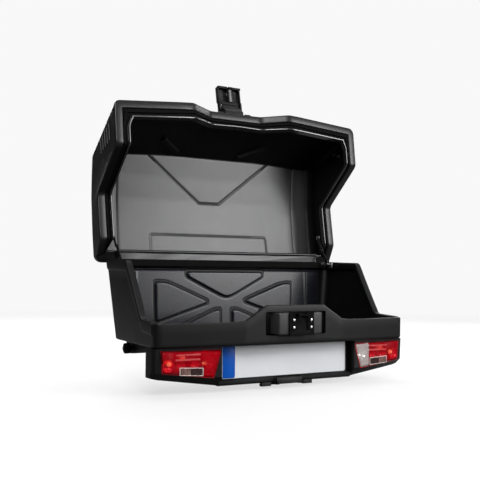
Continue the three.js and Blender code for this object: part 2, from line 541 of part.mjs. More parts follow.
let clampLever = prismX([[480, -16], [486.5, -23.5], [493.5, -24], [498.8, -14], [492, 30], [480, 118], [474, 150], [464, 148], [470, 114], [480, 26]], -11, 11)
  .subtract(rod('x', -40, 40, 490, -16, 5.1, 20));
const clampPin = rod('x', -29, 29, 490, -16, 4.9, 20).add(rod('x', 25, 29, 490, -16, 8, 20)).add(rod('x', -29, -25, 490, -16, 8, 20));
clampLever = clampLever.add(prismX([[463.5, 140], [476, 142], [466, 206], [462, 210], [455, 209], [452, 204]], -14, 14));
const lockPin = rod('x', -20, 43.6, TILT.y, 6, 5, 20).add(rod('x', -24, -20, TILT.y, 6, 9, 20));

// Cable gland of the lamp wiring, under the rear cross tube.
const glandPts = [[0, 10], [9, 10], [9, 16], [11, 16], [11, 25.4], [0, 25.4]].map(([r, z]) => new THREE.Vector2(r, z));
const glandG = new THREE.LatheGeometry(glandPts, 16);
glandG.rotateX(Math.PI / 2);
glandG.translate(230, 60, 0);
const gland = toSolid(glandG).subtract(rod('z', 0, 20, 230, 60, 4, 12));

// ---- assembly -------------------------------------------------------------
const group = new THREE.Group();
const carrierGroup = new THREE.Group();           // plate frame inside the tow-ball frame
carrierGroup.position.set(0, -BALL.y, -BALL.z);
group.add(carrierGroup);
const lidGroup = new THREE.Group();               // turns the closed lid to its open rest position
const th = THREE.MathUtils.degToRad(-LID_ANGLE);
lidGroup.rotation.x = th;
lidGroup.position.set(0, HINGE.y - (HINGE.y * Math.cos(th) - HINGE.z * Math.sin(th)), HINGE.z - (HINGE.y * Math.sin(th) + HINGE.z * Math.cos(th)));
carrierGroup.add(lidGroup);
const add = (parent, name, solid, material) => {
  const mesh = new THREE.Mesh(toGeometry(solid), material);
  mesh.name = name;
  parent.add(mesh);
  return mesh;
};
// Lid brackets for the stays are laid out with the lid open, so they go in
// the carrier group although they ride on the lid.
const lidBracket = (s) => {
  const sx = (a, b) => (s > 0 ? [a, b] : [-b, -a]);
  const [y, z] = STAY.lid;
  return box(...sx(474.5, 477.5), y - 7, y + 16, z - 7, z + 9)
    .add(box(...sx(474.5, 488), y + 12, y + 16, z - 7, z + 9))
    .add(rod('x', ...sx(465, 476), y, z, 2.5, 12))
    .add(rod('x', ...sx(472, 474.6), y, z, 5, 12));
};

add(carrierGroup, 'base_tub', tub, M.shell());
add(carrierGroup, 'back_edge_seal', backSeal, M.rubber());
add(lidGroup, 'lid_shell', lid, M.shell());
add(lidGroup, 'lid_seal', seal, M.rubber());
add(carrierGroup, 'hinge_base_leaf', baseLeaf, M.steel());
add(lidGroup, 'hinge_lid_leaf', lidLeaf, M.steel());
add(carrierGroup, 'hinge_pin', hingePin, M.steel());
add(carrierGroup, 'stay_lower_left', stayL.lower, M.steelBlack());
add(carrierGroup, 'stay_lower_right', stayR.lower, M.steelBlack());
add(carrierGroup, 'stay_upper_left', stayL.upper, M.steelBlack());
add(carrierGroup, 'stay_upper_right', stayR.upper, M.steelBlack());
add(carrierGroup, 'stay_base_bracket_left', stayL.baseBracket, M.steel());
add(carrierGroup, 'stay_base_bracket_right', stayR.baseBracket, M.steel());
add(carrierGroup, 'stay_lid_bracket_left', lidBracket(-1), M.steel());
add(carrierGroup, 'stay_lid_bracket_right', lidBracket(1), M.steel());
add(lidGroup, 'latch_body', latchBody, M.trim());
add(lidGroup, 'latch_pin', latchPin, M.steel());
add(lidGroup, 'latch_lever', latchLever, M.trim());
add(lidGroup, 'latch_hook', latchHook, M.chrome());
add(lidGroup, 'lock_cylinder', lockCylinder, M.chrome());
add(carrierGroup, 'striker_plate', striker, M.trim());
strikerBolts.forEach((b, i) => add(carrierGroup, `striker_bolt_${i + 1}`, b, M.chrome()));
add(carrierGroup, 'bumper_left', podL, M.shell());
add(carrierGroup, 'bumper_right', podR, M.shell());
add(carrierGroup, 'light_housing_left', mirrorX(housingR), M.housing());
add(carrierGroup, 'light_housing_right', housingR, M.housing());
add(carrierGroup, 'lens_outer_left', mirrorX(lensOuterR), M.red());
add(carrierGroup, 'lens_outer_right', lensOuterR, M.red());
add(carrierGroup, 'lens_fog_left', mirrorX(lensInnerR), M.red());
add(carrierGroup, 'lens_reverse_right', lensInnerR, M.clear());
add(carrierGroup, 'lens_window_left', mirrorX(windowR), M.clear());
add(carrierGroup, 'lens_window_right', windowR, M.clear());
add(carrierGroup, 'bulb_tail_left', mirrorX(bulbTailR), M.clear());
add(carrierGroup, 'bulb_tail_right', bulbTailR, M.clear());
add(carrierGroup, 'bulb_turn_left', mirrorX(bulbTurnR), M.clear());
add(carrierGroup, 'bulb_turn_right', bulbTurnR, M.clear());
add(carrierGroup, 'number_plate', plate, M.plate());
add(carrierGroup, 'plate_holder', holder, M.trim());
add(carrierGroup, 'plate_carrier', carrier, M.trim());
add(carrierGroup, 'lower_lip_left', lipLeft, M.trim());
add(carrierGroup, 'lower_lip_right', lipRight, M.trim());
add(carrierGroup, 'tilt_pedal', pedal, M.trim());
add(carrierGroup, 'frame_rail_left', railL, M.steelBlack());
add(carrierGroup, 'frame_rail_right', railR, M.steelBlack());
add(carrierGroup, 'frame_rear_cross', rearCross, M.steelBlack());
add(carrierGroup, 'frame_front_cross', frontCross, M.steelBlack());
add(carrierGroup, 'side_rail_left', sideRailL, M.steelBlack());
add(carrierGroup, 'side_rail_right', sideRailR, M.steelBlack());
add(carrierGroup, 'roller_left', rollerL, M.rubber());
add(carrierGroup, 'roller_right', rollerR, M.rubber());
add(carrierGroup, 'coupling_housing', coupling, M.steelBlack());
add(carrierGroup, 'tilt_pivot_pin', tiltPin, M.steel());
add(carrierGroup, 'clamp_jaw', jaw, M.steel());
add(carrierGroup, 'clamp_lever', clampLever, M.steelBlack());
add(carrierGroup, 'clamp_lever_pin', clampPin, M.steel());
add(carrierGroup, 'tilt_lock_pin', lockPin, M.steel());
add(carrierGroup, 'cable_gland', gland, M.trim());

export default group;
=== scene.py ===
import json
import math

import bmesh
import bpy
import numpy as np
from mathutils import Matrix, Vector


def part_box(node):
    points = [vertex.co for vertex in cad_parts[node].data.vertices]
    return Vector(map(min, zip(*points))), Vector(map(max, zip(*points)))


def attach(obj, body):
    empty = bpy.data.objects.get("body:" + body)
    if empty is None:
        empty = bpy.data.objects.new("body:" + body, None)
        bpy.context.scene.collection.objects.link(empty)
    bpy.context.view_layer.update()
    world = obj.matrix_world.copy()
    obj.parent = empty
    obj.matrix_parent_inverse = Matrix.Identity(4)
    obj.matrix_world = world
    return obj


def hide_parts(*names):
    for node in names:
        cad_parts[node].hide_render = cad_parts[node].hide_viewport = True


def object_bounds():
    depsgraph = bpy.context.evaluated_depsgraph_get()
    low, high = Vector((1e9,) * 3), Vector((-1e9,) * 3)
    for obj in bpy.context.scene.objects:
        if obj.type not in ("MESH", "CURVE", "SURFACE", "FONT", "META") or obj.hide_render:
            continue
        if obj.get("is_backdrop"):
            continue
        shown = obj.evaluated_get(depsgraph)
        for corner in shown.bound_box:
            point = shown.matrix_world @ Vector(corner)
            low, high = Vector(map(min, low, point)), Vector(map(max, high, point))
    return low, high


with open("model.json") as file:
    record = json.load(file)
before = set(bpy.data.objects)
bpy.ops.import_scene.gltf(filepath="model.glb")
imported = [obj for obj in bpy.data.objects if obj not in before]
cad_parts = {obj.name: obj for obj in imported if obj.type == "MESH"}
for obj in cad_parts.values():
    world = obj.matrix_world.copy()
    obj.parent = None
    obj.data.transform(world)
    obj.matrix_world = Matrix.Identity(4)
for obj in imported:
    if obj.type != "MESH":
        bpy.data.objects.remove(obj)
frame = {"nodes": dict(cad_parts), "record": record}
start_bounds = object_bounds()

NODES = frame["nodes"]
BODIES = frame["record"]["behaviour"]["bodies"]
BODY_OF = {n: b for b, ns in BODIES.items() for n in ns}

# ---------------------------------------------------------------- frames
# Shapes are laid out in millimetres around the number plate's centre (X right,
# Y towards the vehicle, Z up) and moved to the row frame, in metres.
plo, phi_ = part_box("number_plate")
OY, OZ = plo.y * 1000.0, (plo.z + phi_.z) / 2 * 1000.0
HY, HZ = 431.0, 376.0
A = math.radians(101.04)
CA, SA = math.cos(A), math.sin(A)


def row(v):
    v = np.asarray(v, float).reshape(-1, 3)
    return np.stack([v[:, 0], v[:, 1] + OY, v[:, 2] + OZ], 1) / 1000.0


def opened(v):
    """Closed-lid coordinates to the open rest position."""
    v = np.asarray(v, float).reshape(-1, 3)
    dy, dz = v[:, 1] - HY, v[:, 2] - HZ
    return np.stack([v[:, 0], HY + dy * CA + dz * SA, HZ - dy * SA + dz * CA], 1)


# ---------------------------------------------------------------- materials
def mat(name, base, rough=0.5, metal=0.0, spec=0.5, grain=0.0, grain_scale=900.0, vary=0.12, rvary=0.12,
        coat=0.0, alpha=1.0, stretch=None, dust=0.0, wear=0.0, painted_hotspot_glow=0.0, painted_shade=None, broad=7.0):
    m = bpy.data.materials.new(name)
    m.use_nodes = True
    nt = m.node_tree
    nd, ln = nt.nodes, nt.links
    nd.clear()
    out = nd.new("ShaderNodeOutputMaterial")
    p = nd.new("ShaderNodeBsdfPrincipled")
    ln.new(p.outputs[0], out.inputs[0])
    tc = nd.new("ShaderNodeTexCoord")
    src = tc.outputs["Object"]
    if stretch:
        mp = nd.new("ShaderNodeMapping")
        mp.inputs["Scale"].default_value = stretch
        ln.new(src, mp.inputs["Vector"])
        src = mp.outputs["Vector"]
    n1 = nd.new("ShaderNodeTexNoise")
    n1.inputs["Scale"].default_value = broad
    n1.inputs["Detail"].default_value = 5
    n1.inputs["Roughness"].default_value = 0.6
    ln.new(src, n1.inputs["Vector"])
    r1 = nd.new("ShaderNodeMapRange")
    r1.inputs[1].default_value, r1.inputs[2].default_value = 0.3, 0.7
    ln.new(n1.outputs["Fac"], r1.inputs[0])
    cr = nd.new("ShaderNodeMix")
    cr.data_type = "RGBA"
    lo = [max(0.0, c * (1 - vary)) for c in base[:3]] + [1]
    hi = [min(1.0, c * (1 + vary)) for c in base[:3]] + [1]
    cr.inputs[6].default_value, cr.inputs[7].default_value = lo, hi
    ln.new(r1.outputs[0], cr.inputs[0])
    colour = cr.outputs[2]
    if dust:
        nz = nd.new("ShaderNodeTexNoise")
        nz.inputs["Scale"].default_value = 55
        nz.inputs["Detail"].default_value = 8
        ln.new(tc.outputs["Object"], nz.inputs["Vector"])
        dr = nd.new("ShaderNodeMapRange")
        dr.inputs[1].default_value, dr.inputs[2].default_value = 0.5, 0.8
        dr.inputs[3].default_value, dr.inputs[4].default_value = 0.0, dust
        ln.new(nz.outputs["Fac"], dr.inputs[0])
        dm = nd.new("ShaderNodeMix")
        dm.data_type = "RGBA"
        dm.inputs[7].default_value = (0.25, 0.24, 0.22, 1)
        ln.new(dr.outputs[0], dm.inputs[0])
        ln.new(colour, dm.inputs[6])
        colour = dm.outputs[2]
    if wear:
        ge = nd.new("ShaderNodeNewGeometry")
        wr = nd.new("ShaderNodeMapRange")
        wr.inputs[1].default_value, wr.inputs[2].default_value = 0.52, 0.62
        wr.inputs[3].default_value, wr.inputs[4].default_value = 0.0, wear
        ln.new(ge.outputs["Pointiness"], wr.inputs[0])
        wm = nd.new("ShaderNodeMix")
        wm.data_type = "RGBA"
        wm.inputs[7].default_value = [min(1, c * 2.5 + 0.02) for c in base[:3]] + [1]
        ln.new(wr.outputs[0], wm.inputs[0])
        ln.new(colour, wm.inputs[6])
        colour = wm.outputs[2]
    if painted_shade:
        # painted shade: base colour and specular level are made darker where the panel turns into the side walls,
        # standing in for the walls' shadow
        sx = nd.new("ShaderNodeSeparateXYZ")
        ln.new(tc.outputs["Object"], sx.inputs[0])
        ab = nd.new("ShaderNodeMath")
        ab.operation = "ABSOLUTE"
        ln.new(sx.outputs["X"], ab.inputs[0])
        fr = nd.new("ShaderNodeMapRange")
        fr.interpolation_type = "SMOOTHSTEP"
        fr.inputs[1].default_value, fr.inputs[2].default_value = painted_shade[0], painted_shade[1]
        fr.inputs[3].default_value, fr.inputs[4].default_value = 1.0, painted_shade[2]
        ln.new(ab.outputs[0], fr.inputs[0])
        fm = nd.new("ShaderNodeVectorMath")
        fm.operation = "SCALE"
        ln.new(colour, fm.inputs[0])
        ln.new(fr.outputs[0], fm.inputs["Scale"])
        colour = fm.outputs[0]
        fs = nd.new("ShaderNodeMath")
        fs.operation = "MULTIPLY"
        fs.inputs[1].default_value = spec
        ln.new(fr.outputs[0], fs.inputs[0])
        spec_from = fs.outputs[0]
    ln.new(colour, p.inputs["Base Color"])
    n2 = nd.new("ShaderNodeTexNoise")
    n2.inputs["Scale"].default_value = broad * 5
    n2.inputs["Detail"].default_value = 6
    ln.new(src, n2.inputs["Vector"])
    rr = nd.new("ShaderNodeMapRange")
    rr.inputs[3].default_value = max(0.02, rough * (1 - rvary))
    rr.inputs[4].default_value = min(1.0, rough * (1 + rvary))
    ln.new(n2.outputs["Fac"], rr.inputs[0])
    ln.new(rr.outputs[0], p.inputs["Roughness"])
    p.inputs["Metallic"].default_value = metal
    p.inputs["Specular IOR Level"].default_value = spec
    if painted_shade:
        ln.new(spec_from, p.inputs["Specular IOR Level"])
    p.inputs["Coat Weight"].default_value = coat
    p.inputs["Coat Roughness"].default_value = 0.06
    p.inputs["Alpha"].default_value = alpha
    # painted highlight: the material emits its own colour, though the lamp is not lit
    if painted_hotspot_glow:
        ln.new(colour, p.inputs["Emission Color"])
        p.inputs["Emission Strength"].default_value = painted_hotspot_glow
    if grain:
        g = nd.new("ShaderNodeTexNoise")
        g.inputs["Scale"].default_value = grain_scale
        g.inputs["Detail"].default_value = 3
        ln.new(src, g.inputs["Vector"])
        b = nd.new("ShaderNodeBump")
        b.inputs["Strength"].default_value = grain
        b.inputs["Distance"].default_value = 0.0004
        ln.new(g.outputs["Fac"], b.inputs["Height"])
        ln.new(b.outputs[0], p.inputs["Normal"])
    return m


SHELL = mat("shell_black", (0.003, 0.003, 0.0032), rough=0.40, spec=0.25, grain=0.22, grain_scale=1500, dust=0.004)
SHELL_RIM = mat("shell_rim", (0.004, 0.004, 0.0042), rough=0.32, spec=0.42, grain=0.16, grain_scale=1500)
# Inner lid panel: its light grey base colour is a painted sheen standing in for the reflection on the black plastic;
# its last argument adds painted shade towards the side walls.
PANEL_PAINTED_SHEEN = mat("lid_panel_painted_sheen", (0.056, 0.056, 0.0575), rough=0.34, spec=0.5, grain=0.14, grain_scale=1300, vary=0.07, painted_shade=(0.452, 0.498, 0.10))
BACKW = mat("tub_panel_grey", (0.0075, 0.008, 0.0115), rough=0.27, spec=0.42, grain=0.05, grain_scale=1300, vary=0.06, rvary=0.05)
TRIM = mat("trim_black", (0.004, 0.004, 0.0042), rough=0.5, spec=0.25, grain=0.3, grain_scale=1700)
GLOSSB = mat("latch_black", (0.003, 0.003, 0.0032), rough=0.22, spec=0.4, grain=0.05, grain_scale=900)
RUBBER = mat("rubber_black", (0.0016, 0.0016, 0.0016), rough=0.6, spec=0.06, grain=0.4, grain_scale=1200, dust=0.004)
LIP = mat("lid_lip", (0.012, 0.012, 0.0125), rough=0.2, spec=0.7, grain=0.05, grain_scale=1500, coat=0.6)
PLINTH = mat("plinth_grey", (0.028, 0.028, 0.029), rough=0.45, spec=0.4, grain=0.25, grain_scale=1500)
STRIKER = mat("striker_black", (0.0012, 0.0012, 0.0012), rough=0.5, spec=0.06, grain=0.3, grain_scale=1700)
COAT = mat("powder_coat", (0.006, 0.006, 0.006), rough=0.38, spec=0.35, grain=0.35, grain_scale=2200, wear=0.2)
STEEL = mat("zinc_steel", (0.42, 0.425, 0.43), rough=0.34, metal=1.0, grain=0.15, grain_scale=260, stretch=(1, 9, 9), vary=0.1)
HINGE = mat("hinge_steel", (0.035, 0.035, 0.036), rough=0.30, metal=0.7, grain=0.15, grain_scale=260, stretch=(1, 9, 9), vary=0.1)
CHROME = mat("bright_steel", (0.72, 0.72, 0.73), rough=0.13, metal=1.0, vary=0.05)
PLATE = mat("plate_white", (0.66, 0.675, 0.70), rough=0.35, spec=0.4, grain=0.08, grain_scale=2400, vary=0.03, coat=0.15)
BLUE = mat("plate_blue", (0.002, 0.075, 0.40), rough=0.35, spec=0.15, grain=0.08, grain_scale=2400, vary=0.05)
RED = mat("lens_red", (0.52, 0.0, 0.008), rough=0.04, spec=0.22, vary=0.16, alpha=0.36, broad=40)
RED_EDGE = mat("lens_red_edge", (0.05, 0.0, 0.001), rough=0.06, spec=0.15, vary=0.10, alpha=0.85, broad=40)
RED_DARK = mat("lens_fog_red", (0.46, 0.0, 0.006), rough=0.05, spec=0.18, vary=0.10, alpha=0.55, broad=40)
CLEAR = mat("lens_clear", (0.66, 0.60, 0.58), rough=0.07, spec=0.5, vary=0.06, alpha=0.35, broad=40)
WINDOW = mat("lens_window", (0.30, 0.19, 0.16), rough=0.06, spec=0.8, vary=0.3, alpha=0.5, broad=60)
WINDOW_DARK = mat("lens_window_dark", (0.03, 0.012, 0.012), rough=0.08, spec=0.6, vary=0.3, alpha=0.8, broad=60)
FRAME = mat("lens_frame", (0.62, 0.52, 0.49), rough=0.16, spec=0.7, vary=0.08, broad=60)
BOWL_RED = mat("reflector_red", (0.95, 0.03, 0.06), rough=0.22, metal=0.45, spec=0.6, vary=0.10, broad=30)
# Pale pink bar colour: a painted highlight standing in for the bright reflections of the reflector stripes.
BAR_PAINTED_HIGHLIGHT = mat("reflector_bar_painted_highlight", (1.0, 0.42, 0.40), rough=0.2, spec=0.6, vary=0.10, broad=30)
HOUSING_DARK = mat("lamp_housing_dark", (0.02, 0.0002, 0.0006), rough=0.3, spec=0.3, vary=0.1)
BOWL = mat("reflector_bright", (0.80, 0.77, 0.74), rough=0.14, metal=1.0, vary=0.05, broad=30)
HOUSING = mat("lamp_housing", (0.30, 0.0006, 0.005), rough=0.25, spec=0.3, vary=0.1)
# Bulb glass: the orange base colour and emission are painted hot-spot highlights standing in for reflections in the
# reflectors; the lamps are unlit.
BULB_PAINTED_HOTSPOT = mat("bulb_glass_painted_hotspot", (1.0, 0.30, 0.14), rough=0.06, spec=0.7, vary=0.02, alpha=0.9, painted_hotspot_glow=0.9)
AMBER_PAINTED_HOTSPOT = mat("bulb_amber_painted_hotspot", (0.95, 0.16, 0.10), rough=0.1, spec=0.6, vary=0.04, alpha=0.9, painted_hotspot_glow=0.4)
DARKM = mat("dark_steel", (0.05, 0.05, 0.052), rough=0.22, metal=0.8, grain=0.1, grain_scale=600, vary=0.1)


# ---------------------------------------------------------------- meshes
def obj_from(name, verts, faces, material, body=None, replaces=(), smooth=40.0, mats=None, index=None):
    me = bpy.data.meshes.new(name)
    me.from_pydata([tuple(v) for v in verts], [], [tuple(int(i) for i in f) for f in faces])
    for m in (mats or [material]):
        me.materials.append(m)
    if index is not None:
        for poly, k in zip(me.polygons, index):
            poly.material_index = int(k)
    bm = bmesh.new()
    bm.from_mesh(me)
    bmesh.ops.remove_doubles(bm, verts=bm.verts, dist=1e-6)
    bmesh.ops.recalc_face_normals(bm, faces=bm.faces)
    bm.to_mesh(me)
    bm.free()
    me.validate()
    ob = bpy.data.objects.new(name, me)
    bpy.context.scene.collection.objects.link(ob)
    finish_shading(ob, smooth)
    if body:
        place(ob, body, replaces)
    return ob


def finish_shading(ob, smooth):
    me = ob.data
    me.polygons.foreach_set("use_smooth", [True] * len(me.polygons))
    if smooth is not None:
        me.set_sharp_from_angle(angle=math.radians(smooth))
    me.update()


def place(ob, body, replaces=()):
    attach(ob, body)
    if replaces:
        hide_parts(*([replaces] if isinstance(replaces, str) else replaces))
    return ob


def refine(node, material, bevel=1.0, seg=2, angle=28.0, name=None, smooth=35.0):
    """The CAD node's own shape with clean faces and rounded edges."""
    src = NODES[node]
    bm = bmesh.new()
    bm.from_mesh(src.data)
    bmesh.ops.remove_doubles(bm, verts=bm.verts, dist=2e-6)
    bmesh.ops.dissolve_limit(bm, angle_limit=math.radians(0.6), verts=bm.verts, edges=bm.edges)
    bmesh.ops.recalc_face_normals(bm, faces=bm.faces)
    me = bpy.data.meshes.new((name or node) + "_skin")
    bm.to_mesh(me)
    bm.free()
    me.materials.append(material)
    ob = bpy.data.objects.new((name or node) + "_skin", me)
    bpy.context.scene.collection.objects.link(ob)
    if bevel:
        b = ob.modifiers.new("round", "BEVEL")
        b.width = bevel / 1000.0
        b.segments = seg
        b.limit_method = "ANGLE"
        b.angle_limit = math.radians(angle)
        b.use_clamp_overlap = True
        b.harden_normals = False
        b.miter_outer = "MITER_ARC"
    finish_shading(ob, None)
    me.set_sharp_from_angle(angle=math.radians(smooth if not bevel else 60))
    place(ob, BODY_OF[node], node)
    return ob


def loft_faces(nr, nc, closed_rings=False):
    f = []
    for i in range(nr if closed_rings else nr - 1):
        k = (i + 1) % nr
        for j in range(nc):
            l = (j + 1) % nc
            f.append((i * nc + j, i * nc + l, k * nc + l, k * nc + j))
    return f


def cap_faces(base, nc):
    """Strips across X between the right half and the mirrored left half."""
    f, h = [], nc // 2
    for j in range(h - 1):
        f.append((base + j, base + j + 1, base + nc - 2 - j, base + nc - 1 - j))
    return f


def arc(n, r=1.0):
    return [(r * (1 - math.cos(t)), r * math.sin(t)) for t in np.linspace(0, math.pi / 2, n)]


def rbox(x0, x1, y0, y1, z0, z1, r=2.0, seg=3):
    """A box with rounded edges, as (verts, faces), in the plate frame."""
    bm = bmesh.new()
    bmesh.ops.create_cube(bm, size=1.0)
    for v in bm.verts:
        v.co = Vector(((x0 + x1) / 2 + v.co.x * (x1 - x0), (y0 + y1) / 2 + v.co.y * (y1 - y0), (z0 + z1) / 2 + v.co.z * (z1 - z0)))
    if r > 0:
        bmesh.ops.bevel(bm, geom=list(bm.edges), offset=r, segments=seg, profile=0.5, affect="EDGES")
    v = np.array([list(p.co) for p in bm.verts])
    f = [[q.index for q in p.verts] for p in bm.faces]
    bm.free()
    return v, f


def lathe(profile, seg, centre, axis):
    """profile: [(radius, along)], turned about an axis direction through centre."""
    axis = np.asarray(axis, float)
    axis = axis / np.linalg.norm(axis)
    ref = np.array([0, 0, 1.0]) if abs(axis[2]) < 0.9 else np.array([1.0, 0, 0])
    u = np.cross(axis, ref); u /= np.linalg.norm(u)
    w = np.cross(axis, u)
    v, f = [], []
    n = len(profile)
    for k in range(seg):
        t = 2 * math.pi * k / seg
        d = u * math.cos(t) + w * math.sin(t)
        for r, a in profile:
            v.append(np.asarray(centre) + d * r + axis * a)
    for k in range(seg):
        l = (k + 1) % seg
        for i in range(n - 1):
            f.append((k * n + i, k * n + i + 1, l * n + i + 1, l * n + i))
    if profile[0][0] > 1e-6:
        f.append([k * n for k in range(seg)][::-1])
    if profile[-1][0] > 1e-6:
        f.append([k * n + n - 1 for k in range(seg)])
    return np.array(v), f


def join(parts):
    V, F, off = [], [], 0
    for v, f in parts:
        V.append(v)
        F += [[i + off for i in q] for q in f]
        off += len(v)
    return np.concatenate(V), F


def seg_dist(px, pz, a, b):
    a, b = np.asarray(a, float), np.asarray(b, float)
    d = b - a
    t = np.clip(((px - a[0]) * d[0] + (pz - a[1]) * d[1]) / (d @ d), 0, 1)
    return np.hypot(px - a[0] - t * d[0], pz - a[1] - t * d[1])


def line_dist(px, pz, pts, closed=False):
    pts = list(pts) + ([pts[0]] if closed else [])
    return np.min([seg_dist(px, pz, pts[i], pts[i + 1]) for i in range(len(pts) - 1)], axis=0)


def inside(px, pz, pts):
    r = np.zeros(px.shape, bool)
    n = len(pts)
    for i in range(n):
        (x0, z0), (x1, z1) = pts[i], pts[(i + 1) % n]
        c = (z0 > pz) != (z1 > pz)
        xi = (x1 - x0) * (pz - z0) / ((z1 - z0) if z1 != z0 else 1e-9) + x0
        r ^= c & (px < xi)
    return r


def sdf(px, pz, pts, grow=0.0):
    """Negative inside; grow rounds the corners outwards."""
    d = line_dist(px, pz, pts, True)
    return np.where(inside(px, pz, pts), -d, d) - grow


def smooth01(t):
    t = np.clip(t, 0, 1)
    return t * t * (3 - 2 * t)


def grid(xs, zs, fn):
    X, Z = np.meshgrid(xs, zs)
    v = fn(X.ravel(), Z.ravel())
    n, m = len(xs), len(zs)
    f = [(j * n + i, j * n + i + 1, (j + 1) * n + i + 1, (j + 1) * n + i) for j in range(m - 1) for i in range(n - 1)]
    return v, f


# ---------------------------------------------------------------- outline
NSEG = dict(flat=12, slope=14, sweep=30, arc=9, side=64, arc2=9, back=30, back2=8)


def outline(o, d):
    """Right half of the plan, from the rear centre to the vehicle-side centre."""
    def push(p, q):
        u = np.array([q[0] - p[0], q[1] - p[1]], float)
        u /= np.hypot(*u)
        n = np.array([-u[1], u[0]]) * d
        return np.array(p) + n, np.array(q) + n

    def cross(l1, l2):
        (p, q), (r, s) = l1, l2
        a, b = q - p
        c, e = s - r
        t = ((r[0] - p[0]) * e - (r[1] - p[1]) * c) / (a * e - b * c)
        return np.array([p[0] + a * t, p[1] + b * t])

    B, C, D = (o["x2"], o["yc"]), (o["cx"], o["cy"]), (o["bx"], o["by"])
    e1 = push((0, o["yc"]), B)
    e2, e3, e4 = push(B, C), push(C, D), push(D, (0, o["by"]))
    c1, c2 = cross(e2, e3), cross(e3, e4)
    c0 = cross(e1, e2)

    def fillet(prev, v, nxt, r, n):
        u1 = (np.asarray(prev) - v); u1 /= np.hypot(*u1)
        u2 = (np.asarray(nxt) - v); u2 /= np.hypot(*u2)
        half = math.acos(np.clip(u1 @ u2, -1, 1)) / 2
        t = r / math.tan(half)
        c = v + (u1 + u2) / np.hypot(*(u1 + u2)) * (r / math.sin(half))
        s0, s1 = v + u1 * t - c, v + u2 * t - c
        a0, a1 = math.atan2(s0[1], s0[0]), math.atan2(s1[1], s1[0])
        while a1 - a0 > math.pi: a1 -= 2 * math.pi
        while a1 - a0 < -math.pi: a1 += 2 * math.pi
        return [c + r * np.array([math.cos(a), math.sin(a)]) for a in np.linspace(a0, a1, n)]

    f1 = fillet(c0, c1, c2, max(o["r1"] - d, 3), NSEG["arc"])
    f2 = fillet(c1, c2, (0, c2[1]), max(o["r2"] - d, 3), NSEG["arc2"])
    pts = [np.array([x, c0[1]]) for x in np.linspace(0, o["x1"], NSEG["flat"], endpoint=False)]
    pts += [np.array([x, c0[1]]) for x in np.linspace(o["x1"], c0[0], NSEG["slope"], endpoint=False)]
    pts += [c0 + (f1[0] - c0) * t for t in np.linspace(0, 1, NSEG["sweep"], endpoint=False)]
    pts += f1
    ys = [f1[-1][1]] + list(o["ys"]) + [f2[0][1]]
    yr = np.interp(np.linspace(0, 1, NSEG["side"] + 2), np.linspace(0, 1, len(ys)), ys)[1:-1]
    for y in yr:
        t = (y - f1[-1][1]) / (f2[0][1] - f1[-1][1])
        pts.append(f1[-1] + (f2[0] - f1[-1]) * t)
    pts += f2
    pts += [np.array([x, c2[1]]) for x in np.linspace(f2[-1][0], 0, NSEG["back"])[1:]]
    return np.array(pts)


_cache = {}


def outline_at(o, d):
    """outline() with one inset per column."""
    if np.isscalar(d):
        key = (id(o), round(float(d), 4))
        if key not in _cache:
            _cache[key] = outline(o, d)
        return _cache[key]
    out = np.zeros((len(d), 2))
    for v in np.unique(np.round(d, 3)):
        key = (id(o), round(float(v), 4))
        if key not in _cache:
            _cache[key] = outline(o, v)
        m = np.isclose(np.round(d, 3), v)
        out[m] = _cache[key][m]
    return out


def soft(fn, x, w=9.0):
    return np.mean([fn(x + k * w) for k in (-1, -0.66, -0.33, 0, 0.33, 0.66, 1)], axis=0)


SIDE_P = ([-100, -30, 101, 224, 405, 600], [134, 135, 144, 342, 347, 347])
side_rim = lambda y: np.interp(y, *SIDE_P)
NC = sum(NSEG[k] for k in ("flat", "slope", "sweep", "arc", "side", "arc2")) + NSEG["back"] - 1
i_arc = NSEG["flat"] + NSEG["slope"] + NSEG["sweep"]
i_side = i_arc + NSEG["arc"]
i_arc2 = i_side + NSEG["side"]
COL = np.arange(NC)


def mirror_ring(p):
    q = p[::-1].copy()
    q[:, 0] *= -1
    return np.concatenate([p, q])


# ---------------------------------------------------------------- tub
SIDE_Y = [30, 101, 162, 224, 310, 392]
TUB_TOP = dict(yc=-60, x1=117, x2=201, cx=520, cy=-26, bx=505, by=432, r1=24, r2=30, ys=SIDE_Y)
TUB_BOT = dict(yc=-58, x1=117, x2=201, cx=519, cy=-25, bx=470, by=420, r1=24, r2=34, ys=SIDE_Y)
t0 = outline_at(TUB_TOP, 0)
hump_z = lambda x: np.interp(np.abs(x), [0, 117, 201, 262, 600], [190, 190, 138, 135.3, 135])
tub_rim = np.where(COL < i_side, soft(hump_z, t0[:, 0], 5), np.where(COL < i_arc2, soft(side_rim, t0[:, 1], 7), 347.0))


def tub_ring(d, z):
    z = np.broadcast_to(z, (NC,)).astype(float)
    f = ((z - 56) / 291.0)[:, None]
    p = outline_at(TUB_BOT, d) * (1 - f) + outline_at(TUB_TOP, d) * f
    return mirror_ring(np.column_stack([p, z]))


rings = []
for i, s in arc(5, 9.0):
    rings.append(tub_ring(9.0 - s, 56 + i))
for t in np.linspace(0, 1, 9)[1:]:
    rings.append(tub_ring(0.0, 65 + (tub_rim - 42 - 65) * t))
for d, z in ((-1.5, -38), (-3.5, -36), (-4.0, -33), (-4.0, -4)):
    w = np.where(COL >= i_side, 1.0, 0.0)
    rings.append(tub_ring(d * w, tub_rim + z))
for c, s in arc(5, 4.0):
    rings.append(tub_ring(np.where(COL >= i_side, -4.0, 0.0) + c, tub_rim - 4 + s))
for c, s in arc(5, 4.0):
    rings.append(tub_ring(16.0 + s, tub_rim - c))
rings.append(tub_ring(20.0, tub_rim - 24))
rings.append(tub_ring(18.0, tub_rim - 27))
rings.append(tub_ring(6.0, tub_rim - 34))
for t in np.linspace(0, 1, 7)[1:]:
    rings.append(tub_ring(6.0, (tub_rim - 34) * (1 - t) + 74 * t))
